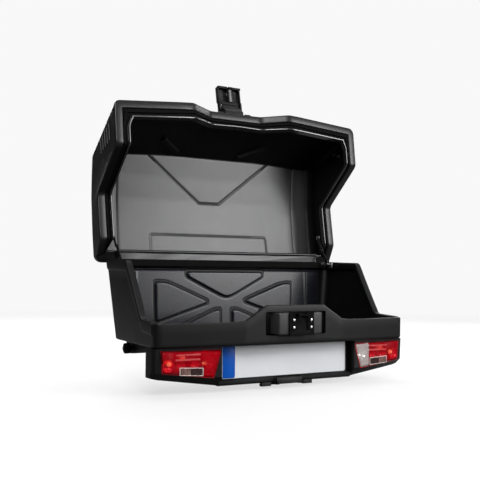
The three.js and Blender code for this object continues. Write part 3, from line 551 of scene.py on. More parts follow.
for c, s in arc(5, 12.0)[1:]:
    rings.append(tub_ring(6.0 + c, 74 - s))
nc = 2 * NC
V = np.concatenate(rings)
F = loft_faces(len(rings), nc) + cap_faces(0, nc) + cap_faces((len(rings) - 1) * nc, nc)


def solid_object(name, v, f, material, smooth=40):
    ob = obj_from(name, row(v), f, material, smooth=smooth)
    bm = bmesh.new()
    bm.from_mesh(ob.data)
    bmesh.ops.remove_doubles(bm, verts=bm.verts, dist=1e-6)
    bmesh.ops.recalc_face_normals(bm, faces=bm.faces)
    bm.to_mesh(ob.data)
    bm.free()
    return ob


def boolean(target, other, op):
    m = target.modifiers.new("b", "BOOLEAN")
    m.operation, m.solver, m.object = op, "EXACT", other
    bpy.context.view_layer.update()
    me = bpy.data.meshes.new_from_object(target.evaluated_get(bpy.context.evaluated_depsgraph_get()))
    target.modifiers.clear()
    old = target.data
    target.data = me
    bpy.data.meshes.remove(old)
    data = other.data
    bpy.data.objects.remove(other)
    bpy.data.meshes.remove(data)


tub = solid_object("tub_shell", V, F, SHELL)
boss = solid_object("boss", *rbox(-131, 131, -56, -16, 78, 178, 5, 3), SHELL)
boolean(tub, boss, "UNION")
pocket = solid_object("pocket", *rbox(-125.7, 125.7, -90, -27.4, 88.2, 167.6, 5, 3), SHELL)
boolean(tub, pocket, "DIFFERENCE")
finish_shading(tub, 40)
place(tub, "box", "base_tub")

# Plinth that carries the striker, with short ribs beside it.
pl = []
v, f = rbox(-96, 96, -86, -26.6, 91.2, 164.6, 5, 4)
k = np.clip((-v[:, 1] - 27) / 59, 0, 1)
v[:, 0] *= 1 - 0.07 * k
pl.append((v, f))
obj_from("latch_plinth", row(pl[0][0]), pl[0][1], PLINTH, "box")
ribs = []
for s in (-1, 1):
    for x in (102, 108, 114, 120):
        ribs.append(rbox(s * x - 1.2, s * x + 1.2, -50, -27, 92, 164, 1.0, 2))
v, f = join(ribs)
obj_from("recess_ribs", row(v), f, SHELL, "box")

# Back panel of the tub with raised pads.
def rounded_pad(x, z, poly, k=4.5):
    """Distance to a convex outline whose corners are rounded on the inside."""
    c = np.mean(poly, axis=0)
    d = []
    for i in range(len(poly)):
        a, b = np.array(poly[i], float), np.array(poly[(i + 1) % len(poly)], float)
        u = (b - a) / np.linalg.norm(b - a)
        m = np.array([-u[1], u[0]])
        if m @ (c - a) > 0:
            m = -m
        d.append((x - a[0]) * m[0] + (z - a[1]) * m[1])
    d = np.array(d)
    top = d.max(axis=0)
    return top + k * np.log(np.exp((d - top) / k).sum(axis=0))


PADS = [
    [(-310, 265), (-262, 265), (-82, 190), (-82, 180), (-308, 110)],
    [(310, 260), (268, 260), (84, 193), (84, 183), (305, 110)],
    [(-176, 304), (172, 304), (172, 282), (12, 201), (-8, 201), (-176, 282)],
    [(-27, 70), (-27, 158), (-50, 158), (-195, 97), (-195, 70)],
    [(24, 70), (24, 158), (47, 158), (195, 97), (195, 70)],
]


def tub_back(x, z):
    by = 420 + 12 * (z - 56) / 291.0
    h = np.zeros(len(x))
    for p in PADS:
        s = rounded_pad(x, z, p)
        h += 9.0 * smooth01((-s + 1) / 6.5) - 2.4 * np.exp(-((s - 2.5) / 2.6) ** 2)
    h += 3.5 * smooth01((np.abs(x) - 378) / 5) - 3.0 * np.exp(-((np.abs(x) - 384) / 3) ** 2)
    h += 2.0 * smooth01((z - 306) / 5)
    edge = np.minimum(456 - np.abs(x), z - 64)
    h = np.where(edge < 3, h * np.clip(edge / 3, 0, 1), h)
    return np.column_stack([x, by - 6.5 - h, z])


v, f = grid(np.arange(-456, 456.1, 3), np.arange(64, 313.1, 3), tub_back)
obj_from("tub_back_panel", row(v), f, BACKW, "box", smooth=60)

# ---------------------------------------------------------------- lid
LY = [30, 101, 162, 224, 310, 392]
LID_RIM = dict(yc=-88, x1=113, x2=216, cx=536, cy=-60, bx=532, by=470, r1=24, r2=18, ys=LY)
LID_TOP = dict(yc=19, x1=113, x2=216, cx=510, cy=34, bx=510, by=455, r1=26, r2=28, ys=[70, 132, 190, 245, 320, 392])
top_z = lambda y: np.interp(y, [0, 30, 110, 205, 340, 460], [430, 436, 457, 477, 487, 489])
l0, l1 = outline_at(LID_RIM, 0), outline_at(LID_TOP, 0)
lid_hump = lambda x: np.interp(np.abs(x), [0, 113, 216, 262, 600], [197, 197, 142, 139.3, 139])
lid_side = lambda y: np.where(y < 392, side_rim(y) + 4, 351 + (np.clip(y, 392, 452) - 392) / 60 * 43)
zr = np.where(COL < i_side, soft(lid_hump, l0[:, 0], 10), np.where(COL < i_arc2, soft(lid_side, l0[:, 1], 9), 394.0))
zt = soft(top_z, l1[:, 1], 12) - 14
LIPX = np.interp(COL, [0, NSEG["flat"], NSEG["flat"] + NSEG["slope"], i_side, i_side + 9, i_arc2 - 9, i_arc2], [15, 18, 22, 22, 10, 10, 0])
SEALX = np.interp(COL, [0, NSEG["flat"] + NSEG["slope"], i_side, i_side + 9, i_arc2 - 9, i_arc2], [8, 13, 13, 5, 5, 0])


def lid_ring(s, d, dz, extra=0.0):
    z = zr + (zt - zr) * s + dz
    f = ((z - zr) / (zt - zr))[:, None]
    dd = np.broadcast_to(np.round(d + extra, 3), (NC,))
    if np.isscalar(extra):
        dd = float(np.round(d + extra, 3))
    p = outline_at(LID_RIM, dd) * (1 - f) + outline_at(LID_TOP, dd) * f
    return mirror_ring(np.column_stack([p, z]))


def lid_cap(d, dz):
    p = outline_at(LID_TOP, float(d))
    return mirror_ring(np.column_stack([p, soft(top_z, l1[:, 1], 12) + dz]))


BACKK = (COL >= i_arc2)
lipdz = np.where(BACKK, 3.0, -6.0)
rings = []
for d, dz in ((16, 0), (11, -0.6), (7, -2.2), (3.5, -5.4), (1.2, -9.5)):
    rings.append(lid_cap(d, dz))
for t in np.linspace(1, 0, 14):
    rings.append(lid_ring(t, 0.0, 5.0 * (t < 0.01)))
for c, s in arc(5, 5.0)[1:]:
    rings.append(lid_ring(0, c, 5.0 - s))
rings.append(lid_ring(0, 27.0, 0))
for c, s in arc(4, 3.0)[1:]:
    rings.append(lid_ring(0, 27.0 + s, c))
rings.append(lid_ring(0, 30.0, 5))
rings.append(lid_ring(0, 38.5, 5, LIPX))
for d, z in ((39.0, 1.0), (39.0, 0.18), (40.2, 0.02), (41.5, 0.0), (43.5, 0.0), (44.6, 0.04), (45.0, 0.2)):
    # the lip's lower edge, rounded
    rings.append(lid_ring(0, d, lipdz + (5 - lipdz) * z, LIPX))
rings.append(lid_ring(0, 45.0, 11, LIPX))
rings.append(lid_ring(0, 43.0, 12, LIPX))
rings.append(lid_ring(0, 12.0, 12))
rings.append(lid_ring(0, 6.0, 18))
for t in np.linspace(0.12, 1, 9):
    rings.append(lid_ring(t, 6.0 - 2.5 * t, 0))
rings.append(lid_ring(1, 3.6, 4.0))
rings.append(lid_cap(4.6, -8.0))
rings.append(lid_cap(7, -6.6))
rings.append(lid_cap(14, -1.5))
V = opened(np.concatenate(rings))
F = loft_faces(len(rings), nc) + cap_faces(0, nc) + cap_faces((len(rings) - 1) * nc, nc)
kinds = []
rim_from, groove_at, lip_from, lip_to = 18, 26, 28, 36
back_cols = np.concatenate([BACKK, BACKK[::-1]])
for i in range(len(rings) - 1):
    if lip_from <= i < lip_to:
        kinds += [3 if b and i not in (30, 31) else 2 for b in back_cols]
    elif groove_at <= i < lip_from:
        kinds += [3] * nc
    elif rim_from <= i < groove_at:
        kinds += [3 if b else 1 for b in back_cols]
    else:
        kinds += [0] * nc
kinds += [0] * (len(F) - len(kinds))
obj_from("lid_shell_skin", row(V), F, SHELL, "lid", "lid_shell", mats=[SHELL, SHELL_RIM, LIP, RUBBER], index=kinds, smooth=38)

# Inner panel of the lid: V-shaped and rectangular grooves, vertical creases.
# Given in the open position (x, height), taken back to the closed lid's y.


def y_of(h):
    """Closed y whose inner surface stands at height h when the lid is open."""
    ys = np.linspace(0, 460, 461)
    hs = HZ - (ys - HY) * SA + (np.interp(ys, [0, 30, 110, 205, 340, 460], [430, 436, 457, 477, 487, 489]) - 6 - HZ) * CA
    return np.interp(-np.asarray(h, float), -hs, ys)


def pts_y(pts):
    return [(x, float(y_of(h))) for x, h in pts]


V_GROOVE = pts_y([(-312, 790), (-282, 764), (-47, 580), (47, 580), (283, 762), (290, 795)])
RECT = pts_y([(-271, 372), (-271, 437), (-268, 445), (-260, 448), (258, 448), (266, 445), (269, 437), (269, 372)])


def groove(d, w, depth):
    return depth * np.exp(-(d / w) ** 2)


def lid_panel(x, y):
    z = soft(top_z, y, 12) - 7.2
    h = -groove(line_dist(x, y, V_GROOVE), 3.2, 4.0)
    h += 1.6 * smooth01((sdf(x, y, V_GROOVE + [(290, -60), (-312, -60)], 0) + 2) / -4.0)
    h -= groove(line_dist(x, y, RECT), 3.0, 3.4)
    h += 1.4 * smooth01((3 - sdf(x, y, RECT, 0)) / 6.0)
    h -= groove(np.abs(x + 405), 2.6, 3.2) + groove(np.abs(x - 413), 2.6, 3.4)
    h += 2.0 * smooth01((np.abs(x) - 413) / 4) * 0.8
    e = np.minimum(484 - np.abs(x), np.minimum(y - panel_start(x), 432 - y))
    h = h * np.clip(e / 5, 0, 1)
    k = np.clip((np.abs(x) - 464) / 38.0, 0, 1)
    return np.column_stack([x, y, z - h - 38 * (1 - np.sqrt(1 - k * k))])


def panel_start(x):
    return 24.0 + np.maximum(np.abs(x) - 205, 0) * 0.052


def panel_map(x, t):
    y0 = panel_start(x)
    return lid_panel(x, y0 + (432 - y0) * t)


xs = np.concatenate([-501.9 + np.array([0, 0.4, 1.2, 2.4, 4.2, 6.6, 9.6, 13.2, 17.0]), np.arange(-482, 482.1, 2.75), 501.9 - np.array([17.0, 13.2, 9.6, 6.6, 4.2, 2.4, 1.2, 0.4, 0])])
v, f = grid(xs, np.linspace(0, 1, 148), panel_map)
obj_from("lid_inner_panel", row(opened(v)), f, PANEL_PAINTED_SHEEN, "lid", smooth=60)


def lid_outside(x, y):
    z = soft(top_z, y, 12) + 0.5
    m = [(-330, 95), (330, 95), (180, 330), (-180, 330)]
    h = 4.0 * smooth01((4 - sdf(x, y, m, 14)) / 9.0)
    for xx in (-430, -400, 400, 430):
        h += 3.0 * smooth01((5 - np.abs(x - xx)) / 4.0) * smooth01((y - 90) / 20) * smooth01((400 - y) / 20)
    for k in (-70, 0, 70):
        h -= 2.5 * np.exp(-((x - k) / 4.0) ** 2) * smooth01((y - 130) / 15) * smooth01((300 - y) / 15)
    e = np.minimum(478 - np.abs(x), np.minimum(y - 50, 425 - y))
    h = (h + 0.4) * np.clip(e / 8, 0, 1) - 0.9 * (1 - np.clip(e / 3, 0, 1))
    return np.column_stack([x, y, z + h])


v, f = grid(np.arange(-478, 478.1, 4), np.arange(50, 425.1, 4), lid_outside)
obj_from("lid_top_relief", row(opened(v)), f, SHELL, "lid", smooth=60)

# Ribs in the lid's rear wall (closed coordinates).


def wall_point(x, h, off=0.0):
    """A point on the inner rear wall of the lid at closed height h."""
    f = (h - 142) / (436 - 14 - 142.0)
    y = (-88 + 6) * (1 - f) + (19 + 6) * f
    if abs(x) > 216:
        y += (abs(x) - 216) * (0.0875 * (1 - f) + 0.051 * f)
    return np.array([x, y + off, h])


def bar(p, q, w, t):
    p, q = np.asarray(p), np.asarray(q)
    d = (q - p) / np.linalg.norm(q - p)
    n = np.array([0, 1.0, -0.38]); n /= np.linalg.norm(n)
    s = np.cross(d, n)
    out = []
    for base in (p, q):
        for a, b in ((-w, 0), (-w * 0.6, t), (w * 0.6, t), (w, 0)):
            out.append(base + s * a + n * b)
    f = [(0, 1, 5, 4), (1, 2, 6, 5), (2, 3, 7, 6), (3, 0, 4, 7), (0, 3, 2, 1), (4, 5, 6, 7)]
    return np.array(out), f


parts = []
for s in (-1, 1):
    parts.append(bar(wall_point(-258 if s < 0 else 215, 330), wall_point(-165 if s < 0 else 120, 400), 13, 10))
v, f = join(parts)
obj_from("lid_wall_ribs", row(opened(v)), f, TRIM, "lid")

# Vent grooves on the outer side walls near the rear corner (raised fine ribs).


def side_point(s, y, h, off):
    k = np.interp(y, l0[i_side:i_arc2, 1], np.arange(i_side, i_arc2))
    j = int(round(float(k)))
    f = (h - zr[j]) / (zt[j] - zr[j])
    p = l0[j] * (1 - f) + l1[j] * f
    return np.array([s * (p[0] + off), p[1], h])


parts = []
for s in (-1, 1):
    for n in range(5):
        h = 214 + n * 26
        a, b = side_point(s, -14, h, 0.0), side_point(s, 62, h, 0.0)
        w = 3.2
        vv = []
        for p in (a, b):
            for dz, o in ((-w, -0.5), (-w * 0.5, 2.6), (w * 0.5, 2.6), (w, -0.5)):
                vv.append([p[0] + s * o, p[1], p[2] + dz])
        parts.append((np.array(vv), [(0, 1, 5, 4), (1, 2, 6, 5), (2, 3, 7, 6), (3, 0, 4, 7), (0, 3, 2, 1), (4, 5, 6, 7)]))
v, f = join(parts)
obj_from("lid_side_ribs", row(opened(v)), f, SHELL, "lid")

for n, node in enumerate(("lid_seal",)):
    refine(node, RUBBER, bevel=1.2, seg=2)
refine("back_edge_seal", RUBBER, bevel=1.5, seg=3)

# Screws in the lid's corners and the stays' brackets.
screws = []
for s in (-1, 1):
    for y, h in ((330, 787), (362, 798)):
        c = np.array([s * 487.0, y, h])
        screws.append(lathe([(0.0, -6.0), (2.0, -6.0), (2.4, -4.5), (5.6, -3.2), (6.6, -1.4), (6.8, 4.0)][::-1] if False else
                            [(6.8, 4.0), (6.6, -1.4), (5.6, -3.2), (2.4, -3.6), (2.0, -2.4), (0.0, -2.4)], 16, c, (s, 0, 0)))
v, f = join(screws)
obj_from("lid_corner_screws", row(v), f, DARKM, "lid")

# ---------------------------------------------------------------- hinge, stays
for n in ("hinge_base_leaf", "hinge_lid_leaf"):
    refine(n, HINGE, bevel=0.5, seg=2)
refine("hinge_pin", STEEL, bevel=0.3)
screws = []
for x in np.arange(-425, 426, 85):
    c = opened(np.array([[x, 450, 390.6]]))[0]
    ax = opened(np.array([[x, 450, 391.6]]))[0] - c
    screws.append(lathe([(5.2, 0.6), (5.0, -0.9), (3.8, -1.9), (1.6, -2.1), (1.4, -1.2), (0.0, -1.2)], 14, c, ax))
v, f = join(screws)
obj_from("hinge_screws", row(v), f, CHROME, "lid")
for side in ("left", "right"):
    refine(f"stay_lower_{side}", COAT, bevel=0.6)
    refine(f"stay_upper_{side}", COAT, bevel=0.6)
    refine(f"stay_base_bracket_{side}", STEEL, bevel=0.6)
    refine(f"stay_lid_bracket_{side}", STEEL, bevel=0.6)

# ---------------------------------------------------------------- latch
pads = []
for s in (-1, 1):
    sec = [(-80, 204), (-92.6, 206), (-93.8, 208.5), (-78.4, 237), (-76.5, 238.4), (-63, 240)]
    ring = []
    for x, g in ((48, 1.5), (49.2, 0.3), (50.5, 0), (71.5, 0), (72.8, 0.3), (74, 1.5)):
        ring.append([(s * x, y + g, z) for y, z in sec])
    v = np.array([q for a in ring for q in a])
    f = loft_faces(6, 6) + [list(range(6)), [30 + k for k in range(6)][::-1]]
    pads.append((v, f))
v, f = join(pads)
obj_from("lid_wall_pads", row(opened(v)), f, SHELL_RIM, "lid", smooth=30)
refine("latch_body", TRIM, bevel=2.2, seg=3)
refine("latch_pin", DARKM, bevel=0.5)
refine("latch_lever", TRIM, bevel=2.0, seg=3)
refine("latch_hook", GLOSSB, bevel=0.8, seg=2)
refine("lock_cylinder", STEEL, bevel=0.7, seg=2)
PY, PZ = -118.0, 236.0
parts = []
for x in (-30, -20, -10, 0, 10, 20, 30):
    parts.append(rbox(x - 2.2, x + 2.2, PY - 92.6, PY - 91.4, PZ - 8, PZ + 2, 0.6, 2))
for s in (-1, 1):
    parts.append(rbox(s * 36 - 6, s * 36 + 6, PY - 84, PY - 34, PZ + 13.4, PZ + 15.4, 1.0, 2))
parts.append(rbox(-24, 24, PY - 46, PY - 34, PZ + 13.4, PZ + 15.0, 0.8, 2))
parts.append(rbox(-39, 39, PY - 31, PY - 19.5, PZ - 4, PZ + 6, 1.5, 3))
v, f = join(parts)
obj_from("lever_ribs", row(opened(v)), f, TRIM, "latch_lever")

v, f = rbox(-37, 37, PY - 17.5, PY - 4, PZ - 5, PZ + 5, 2.0, 3)
obj_from("latch_nose", row(opened(v)), f, TRIM, "lid")

# ---------------------------------------------------------------- striker
refine("striker_plate", STRIKER, bevel=1.6, seg=3)
for k, (x, z) in enumerate([(-36, 115), (36, 115), (-36, 140), (36, 140)]):
    prof = [(7.4, 0.2), (7.4, -1.0), (6.8, -1.5), (4.5, -1.5), (4.5, -4.8), (3.9, -5.8), (2.4, -6.0), (2.1, -3.4), (0, -3.4)]
    v, f = lathe(prof, 28, (x, -92.0, z), (0, 1, 0))
    kinds = [(1 if 3 <= (n % (len(prof) - 1)) else 0) if n < 28 * (len(prof) - 1) else 0 for n in range(len(f))]
    obj_from(f"striker_bolt_head_{k + 1}", row(v), f, CHROME, "box", f"striker_bolt_{k + 1}", smooth=30, mats=[STRIKER, CHROME], index=kinds)

# ---------------------------------------------------------------- bumper pods
for side in ("left", "right"):
    refine(f"bumper_{side}", SHELL, bevel=4.0, seg=4, angle=24)

# ---------------------------------------------------------------- tail lights
LIGHT = [(499, 49), (283, 46), (283, 30), (307, -46), (345, -42), (493, -23)]
lens_y = lambda x: -34 + 8 * (np.abs(x) - 270) / 240.0


def clipped(poly, xs, zs, fn):
    """Grid over a convex outline; fn(x, z) gives y."""
    bm = bmesh.new()
    vs = [[bm.verts.new((x, 0.0, z)) for x in xs] for z in zs]
    for j in range(len(zs) - 1):
        for i in range(len(xs) - 1):
            bm.faces.new((vs[j][i], vs[j][i + 1], vs[j + 1][i + 1], vs[j + 1][i]))
    c = np.mean(poly, axis=0)
    n = len(poly)
    for i in range(n):
        a, b = np.array(poly[i], float), np.array(poly[(i + 1) % n], float)
        d = b - a
        nrm = np.array([d[1], -d[0]])
        if nrm @ (c - a) > 0:
            nrm = -nrm
        bmesh.ops.bisect_plane(bm, geom=list(bm.verts) + list(bm.edges) + list(bm.faces), dist=1e-4,
                               plane_co=(a[0], 0, a[1]), plane_no=(nrm[0], 0, nrm[1]), clear_outer=True)
    v = np.array([list(p.co) for p in bm.verts])
    bm.verts.index_update()
    f = [[q.index for q in p.verts] for p in bm.faces]
    bm.free()
    v[:, 1] = fn(v[:, 0], v[:, 2])
    return v, f


def chamfer(poly, r):
    out = []
    n = len(poly)
    for i in range(n):
        p, a, b = (np.array(poly[k % n], float) for k in (i, i - 1, i + 1))
        ua, ub = (a - p) / np.linalg.norm(a - p), (b - p) / np.linalg.norm(b - p)
        p0, p1 = p + ua * r, p + ub * r
        for t in (0, 0.25, 0.5, 0.75, 1):
            out.append(tuple((1 - t) ** 2 * p0 + 2 * t * (1 - t) * p + t * t * p1))
    return out


def solidify(ob, t):
    m = ob.modifiers.new("thick", "SOLIDIFY")
    m.thickness = t / 1000.0
    m.offset = -1
    return ob


def cut_poly(poly, keep):
    """Part of a convex outline with keep(x) on one side of x = 346."""
    lim, sgn = keep
    out, n = [], len(poly)
    for i in range(n):
        p, q = poly[i], poly[(i + 1) % n]
        inp, inq = sgn * (p[0] - lim) >= 0, sgn * (q[0] - lim) >= 0
        if inp:
            out.append(p)
        if inp != inq:
            t = (lim - p[0]) / (q[0] - p[0])
            out.append((lim, p[1] + (q[1] - p[1]) * t))
    return out


WIN = [(434, -5), (349, -9), (349, -36), (434, -31)]


def lens_surface(x, z, fog=False):
    y = lens_y(x).copy()
    s = sdf(x, z, LIGHT, 0)
    y += 5.0 * (1 - smooth01(-s / 9.0))
    if not fog:
        y -= 3.2 * smooth01((z - 9) / 3.0)
        win = sdf(x, z, WIN, 2)
        y += 1.8 * smooth01(-win / 3.0 + 0.6)
        low = smooth01((9 - z) / 4.0) * (win > 3)
        y -= 0.45 * low * np.cos(x / 2.2)
        for cx_ in (474.0, 372.0):
            r = np.hypot(x - cx_, (z - 4) * 1.15)
            y -= 1.5 * smooth01((24 - r) / 10) * (z < 9)
    else:
        y -= 0.5 * (0.5 + 0.5 * np.cos(z / 1.6)) * smooth01(-s / 7.0)
    return y


def light(side):
    s = -1 if side == "left" else 1
    outer = cut_poly(chamfer(LIGHT, 7), (346.4, 1))
    inner = cut_poly(chamfer(LIGHT, 7), (345.6, -1))
    xs, zs = np.arange(270, 512, 1.6), np.arange(-60, 62, 1.6)
    v, f = clipped(outer, xs, zs, lambda x, z: lens_surface(x, z))
    v[:, 0] *= s
    cen = np.array([v[list(q)].mean(axis=0) for q in f])
    far = sdf(np.abs(cen[:, 0]), cen[:, 2], outer, 0)
    idx = ((far > -3.6) & (np.abs(cen[:, 0]) > 350)).astype(int)
    solidify(obj_from(f"lens_{side}_red", row(v), f, RED, "box", f"lens_outer_{side}", smooth=35,
                      mats=[RED, RED_EDGE], index=idx), 2.4)
    v, f = clipped(inner, xs, zs, lambda x, z: lens_surface(x, z, True))
    cen = np.array([v[list(q)].mean(axis=0) for q in f])
    idx = ((sdf(cen[:, 0], cen[:, 2], inner, 0) > -3.4) & (cen[:, 0] < 341)).astype(int)
    v[:, 0] *= s
    node = "lens_fog_left" if side == "left" else "lens_reverse_right"
    solidify(obj_from(f"lens_{side}_inner", row(v), f, None, "box", node,
                      smooth=35, mats=[RED_DARK, RED_EDGE] if side == "left" else [CLEAR, RED], index=idx), 2.4)
    w = chamfer(WIN, 3)
    v, f = clipped(w, np.arange(345, 440, 0.9), np.arange(-40, 0, 1.2),
                   lambda x, z: lens_y(x) - 1.0 - 0.9 * np.abs(((x / 2.6) % 2) - 1) - 1.2 * np.exp(-((x - 391) / 1.2) ** 2))
    cen = np.array([v[list(q)].mean(axis=0) for q in f])
    edge = sdf(cen[:, 0], cen[:, 2], w, 0)
    dark = ((cen[:, 0] % 7.0) < 2.2) | (cen[:, 0] < 392)
    idx = np.where(edge > -2.4, 2, np.where(dark, 1, 0))
    v[:, 0] *= s
    solidify(obj_from(f"lens_{side}_window", row(v), f, WINDOW, "box", f"lens_window_{side}", smooth=25,
                      mats=[WINDOW, WINDOW_DARK, FRAME], index=idx), 1.2)
    # back of the lamp with its bowls
    h = refine(f"light_housing_{side}", HOUSING, bevel=0.8)
    h.data.materials.append(TRIM)
    for q in h.data.polygons:
        q.material_index = 1 if q.normal.y > -0.3 else 0
    bowls_r, bowls_c = [], []
    for cx_, cz, r, dep, red in ((472, 0, 20, 12, True), (421, -2, 15, 10, True), (372, 0, 15, 10, True), (320, 6, 21, 14, side == "left"), (391, -21, 12, 8, False)):
        prof = [(r * math.sqrt(t), -dep + dep * (1 - t) * 1.0) for t in np.linspace(1, 0.03, 12)]
        prof = [(p, a) for p, a in prof] + [(0.0, dep * 0.02)]
        vv, ff = lathe(prof, 36, (s * cx_, -9.0, cz), (0, 1, 0))
        keep = [q for q in ff if len(q) <= 4]
        (bowls_r if red else bowls_c).append((vv, keep))
    # Bars behind the red lens, coloured pale pink as a painted highlight of the reflector stripes.
    bars = [rbox(min(s * 352, s * 442), max(s * 352, s * 442), -19.5 - dy, -12.5 - dy, cz - 3.0, cz + 3.0, 2.4, 4)
            for cz, dy in ((17, 0), (33, 3))]
    v, f = join(bars)
    obj_from(f"lamp_painted_highlight_bars_{side}", row(v), f, BAR_PAINTED_HIGHLIGHT, "box", smooth=50)
    v, f = rbox(min(s * 447, s * 494), max(s * 447, s * 494), -10.4, -9.2, -19, 45, 0.5, 2)
    obj_from(f"lamp_end_{side}", row(v), f, HOUSING_DARK, "box", smooth=50)
    if side == "left":
        prof = [(0.0, -13.0), (2.6, -12.4), (4.6, -10.6), (5.6, -7.6), (5.2, -3.8), (4.4, 2.0), (0.0, 2.0)]
        v, f = lathe(prof, 24, (s * 336, -10.5, 3), (0, 1, 0))
        obj_from("lamp_fog_bulb", row(v), f, BULB_PAINTED_HOTSPOT, "box", smooth=50)
    if bowls_r:
        v, f = join(bowls_r)
        obj_from(f"bowls_red_{side}", row(v), f, BOWL_RED, "box", smooth=50)
    v, f = join(bowls_c)
    obj_from(f"bowls_bright_{side}", row(v), f, BOWL, "box", smooth=50)
    for kind_, cx_, cz in (("tail", 464, 6), ("turn", 415, 24)):
        prof = [(0.0, -13.0), (2.6, -12.4), (4.9, -10.6), (6.6, -7.6), (7.4, -3.8), (7.3, 0.0), (6.2, 3.4), (4.8, 6.0), (4.8, 12.0), (0.0, 12.0)]
        v, f = lathe(prof, 28, (s * cx_, -10.5, cz), (0, 1, 0))
        obj_from(f"bulb_{kind_}_{side}_glass", row(v), f, BULB_PAINTED_HOTSPOT if kind_ == "tail" else AMBER_PAINTED_HOTSPOT, "box", f"bulb_{kind_}_{side}", smooth=50)


light("left")
light("right")

# ---------------------------------------------------------------- plate
def rounded_rect(x0, x1, z0, z1, r, n=8):
    pts = []
    for cx_, cz, a0 in ((x1 - r, z1 - r, 0), (x0 + r, z1 - r, 90), (x0 + r, z0 + r, 180), (x1 - r, z0 + r, 270)):
        for t in np.linspace(0, 90, n):
            a = math.radians(a0 + t)
            pts.append((cx_ + r * math.cos(a), cz + r * math.sin(a)))
    return pts


def slab(rings_, n):
    v = np.array([p for r_ in rings_ for p in r_])
    f = loft_faces(len(rings_), n)
    f.append(list(range(n)))
    f.append([(len(rings_) - 1) * n + i for i in range(n)][::-1])
    return v, f


def plate_rings(x0, x1, z0, z1, r, steps):
    out = []
    for inset, y in steps:
        out.append([(x, y, z) for x, z in rounded_rect(x0 + inset, x1 - inset, z0 + inset, z1 - inset, max(r - inset, 0.5))])
    return out


v, f = slab(plate_rings(-260, 260, -55, 55, 8, [(0.3, 1.2), (0, 0.9), (0, 0.3), (0.4, 0), (1.6, 0), (2.2, -0.35), (3.4, -0.35), (4.0, 0)]), 32)
obj_from("plate_sheet", row(v), f, PLATE, "box", "number_plate", smooth=30)
v, f = slab(plate_rings(-258.6, -210, -53.6, 53.6, 6.5, [(0, 0.3), (0, -0.45), (0.3, -0.55)]), 32)
obj_from("plate_band", row(v), f, BLUE, "box", smooth=30)
v, f = rbox(-74, 74, 13.2, 17.0, -86, -50, 1.2, 3)
obj_from("pedal_backing", row(v), f, TRIM, "box")
refine("plate_holder", TRIM, bevel=0.8)
refine("plate_carrier", SHELL, bevel=1.5, seg=3)

# ---------------------------------------------------------------- rest
for n in ("lower_lip_left", "lower_lip_right", "tilt_pedal"):
    refine(n, SHELL, bevel=2.2, seg=3)
for n in ("frame_rail_left", "frame_rail_right", "frame_rear_cross", "frame_front_cross", "side_rail_left", "side_rail_right"):
    refine(n, COAT, bevel=1.5, seg=2)
refine("coupling_housing", COAT, bevel=2.0, seg=2, angle=35)
refine("clamp_lever", COAT, bevel=1.6, seg=2)
for n in ("tilt_pivot_pin", "clamp_lever_pin", "tilt_lock_pin", "clamp_jaw"):
    refine(n, STEEL, bevel=0.8, seg=2)
for n in ("roller_left", "roller_right"):
    refine(n, RUBBER, bevel=1.0, seg=2)
refine("cable_gland", TRIM, bevel=0.6, seg=2)

# ---------------------------------------------------------------- stage
scene = bpy.context.scene
scene.view_settings.view_transform = "Standard"
scene.view_settings.look = "None"
FLOOR = mat("floor_pale", (0.84, 0.84, 0.84), rough=0.7, spec=0.15, vary=0.01)
nt = FLOOR.node_tree
sh = nt.nodes["Principled BSDF"]
geo = nt.nodes.new("ShaderNodeTexCoord")
ln_ = nt.nodes.new("ShaderNodeVectorMath")
ln_.operation = "LENGTH"
nt.links.new(geo.outputs["Object"], ln_.inputs[0])
mr = nt.nodes.new("ShaderNodeMapRange")
mr.interpolation_type = "SMOOTHSTEP"
mr.inputs[1].default_value, mr.inputs[2].default_value = 1.6, 6.0
nt.links.new(ln_.outputs["Value"], mr.inputs[0])
em = nt.nodes.new("ShaderNodeEmission")
em.inputs[0].default_value = (1, 1, 1, 1)
em.inputs[1].default_value = 0.94
seen = nt.nodes.new("ShaderNodeLightPath")
mr.inputs[3].default_value, mr.inputs[4].default_value = 0.7, 1.0
far = nt.nodes.new("ShaderNodeMath")
far.operation = "MULTIPLY"
nt.links.new(mr.outputs[0], far.inputs[0])
nt.links.new(seen.outputs["Is Camera Ray"], far.inputs[1])
tone = nt.nodes.new("ShaderNodeMix")
tone.data_type = "RGBA"
tone.inputs[6].default_value = (0.14, 0.14, 0.14, 1)
was = sh.inputs["Base Color"].links[0].from_socket
nt.links.new(was, tone.inputs[7])
nt.links.new(seen.outputs["Is Camera Ray"], tone.inputs[0])
nt.links.new(tone.outputs[2], sh.inputs["Base Color"])
mx = nt.nodes.new("ShaderNodeMixShader")
nt.links.new(far.outputs[0], mx.inputs[0])
nt.links.new(sh.outputs[0], mx.inputs[1])
nt.links.new(em.outputs[0], mx.inputs[2])
nt.links.new(mx.outputs[0], nt.nodes["Material Output"].inputs[0])
lo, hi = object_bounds()
me = bpy.data.meshes.new("studio_floor")
zf = lo[2] - 0.0015
me.from_pydata([(-60, -60, zf), (60, -60, zf), (60, 60, zf), (-60, 60, zf)], [], [(0, 1, 2, 3)])
me.materials.append(FLOOR)
floor = bpy.data.objects.new("studio_floor", me)
scene.collection.objects.link(floor)
floor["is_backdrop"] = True

world = bpy.data.worlds.new("studio")
scene.world = world
world.use_nodes = True
wt = world.node_tree
bg = wt.nodes["Background"]
bg.inputs[1].default_value = 1.0
wc = wt.nodes.new("ShaderNodeTexCoord")


def wnode(kind, **kw):
    n = wt.nodes.new(kind)
    for k, v in kw.items():
        setattr(n, k, v)
    return n


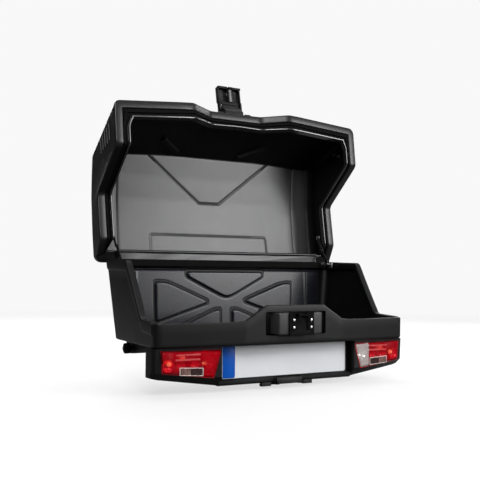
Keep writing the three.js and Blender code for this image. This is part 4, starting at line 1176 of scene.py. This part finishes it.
def lobe(direction, c0, c1):
    """0 to 1 as a direction comes within a cone."""
    d = wnode("ShaderNodeVectorMath", operation="DOT_PRODUCT")
    u = Vector(direction).normalized()
    d.inputs[1].default_value = u
    wt.links.new(wc.outputs["Generated"], d.inputs[0])
    m = wnode("ShaderNodeMapRange", interpolation_type="SMOOTHSTEP")
    m.inputs[1].default_value, m.inputs[2].default_value = c0, c1
    wt.links.new(d.outputs["Value"], m.inputs[0])
    return m.outputs[0]


def over(base, fac, value):
    m = wnode("ShaderNodeMix", data_type="FLOAT")
    m.inputs[3].default_value = value
    if isinstance(base, float):
        m.inputs[2].default_value = base
    else:
        wt.links.new(base, m.inputs[2])
    wt.links.new(fac, m.inputs[0])
    return m.outputs[0]


level = over(0.10, lobe((0.45, -0.80, 0.35), 0.45, 0.97), 0.55)
level = over(level, lobe((0, 0, 1), 0.5, 0.95), 0.30)
path = wnode("ShaderNodeLightPath")
level = over(level, path.outputs["Is Camera Ray"], 0.94)
wt.links.new(level, bg.inputs[0])


def area(name, loc, target, size, power, color=(1, 1, 1)):
    l = bpy.data.lights.new(name, "AREA")
    l.shape = "RECTANGLE"
    l.size, l.size_y = size
    l.energy = power
    l.color = color
    o = bpy.data.objects.new(name, l)
    o.location = loc
    d = Vector(target) - Vector(loc)
    o.rotation_euler = d.to_track_quat("-Z", "Y").to_euler()
    scene.collection.objects.link(o)
    return o


area("key", (-2.2, -3.6, 3.2), (0, -0.1, 0.5), (2.0, 2.0), 150)
area("front_right", (2.3, -3.6, 1.6), (0, -0.1, 0.5), (1.4, 2.2), 100)
area("top", (0.3, 0.3, 3.8), (0, -0.1, 0.4), (2.6, 2.0), 60)

area("back", (0.9, 3.7, 2.6), (0, 0, 0.5), (2.6, 2.0), 170)
area("side", (3.6, 0.9, 1.7), (0, 0, 0.5), (1.6, 2.0), 75)

# ---------------------------------------------------------------- camera
yaw, pitch, roll = math.radians(31.50), math.radians(2.31), math.radians(0.41)
fwd = Vector((math.sin(yaw) * math.cos(pitch), math.cos(yaw) * math.cos(pitch), math.sin(pitch)))
right = Vector((math.cos(yaw), -math.sin(yaw), 0))
up = right.cross(fwd)
R = math.cos(roll) * right + math.sin(roll) * up
U = -math.sin(roll) * right + math.cos(roll) * up
cam_data = bpy.data.cameras.new("camera")
cam_data.sensor_width = 36
cam_data.lens = 61.83
cam_data.clip_end = 200
cam = bpy.data.objects.new("camera", cam_data)
cam.matrix_world = Matrix(((R.x, U.x, -fwd.x, -1.6516), (R.y, U.y, -fwd.y, -2.8838), (R.z, U.z, -fwd.z, 0.3672), (0, 0, 0, 1)))
scene.collection.objects.link(cam)
scene.camera = cam

a, b = start_bounds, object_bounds()
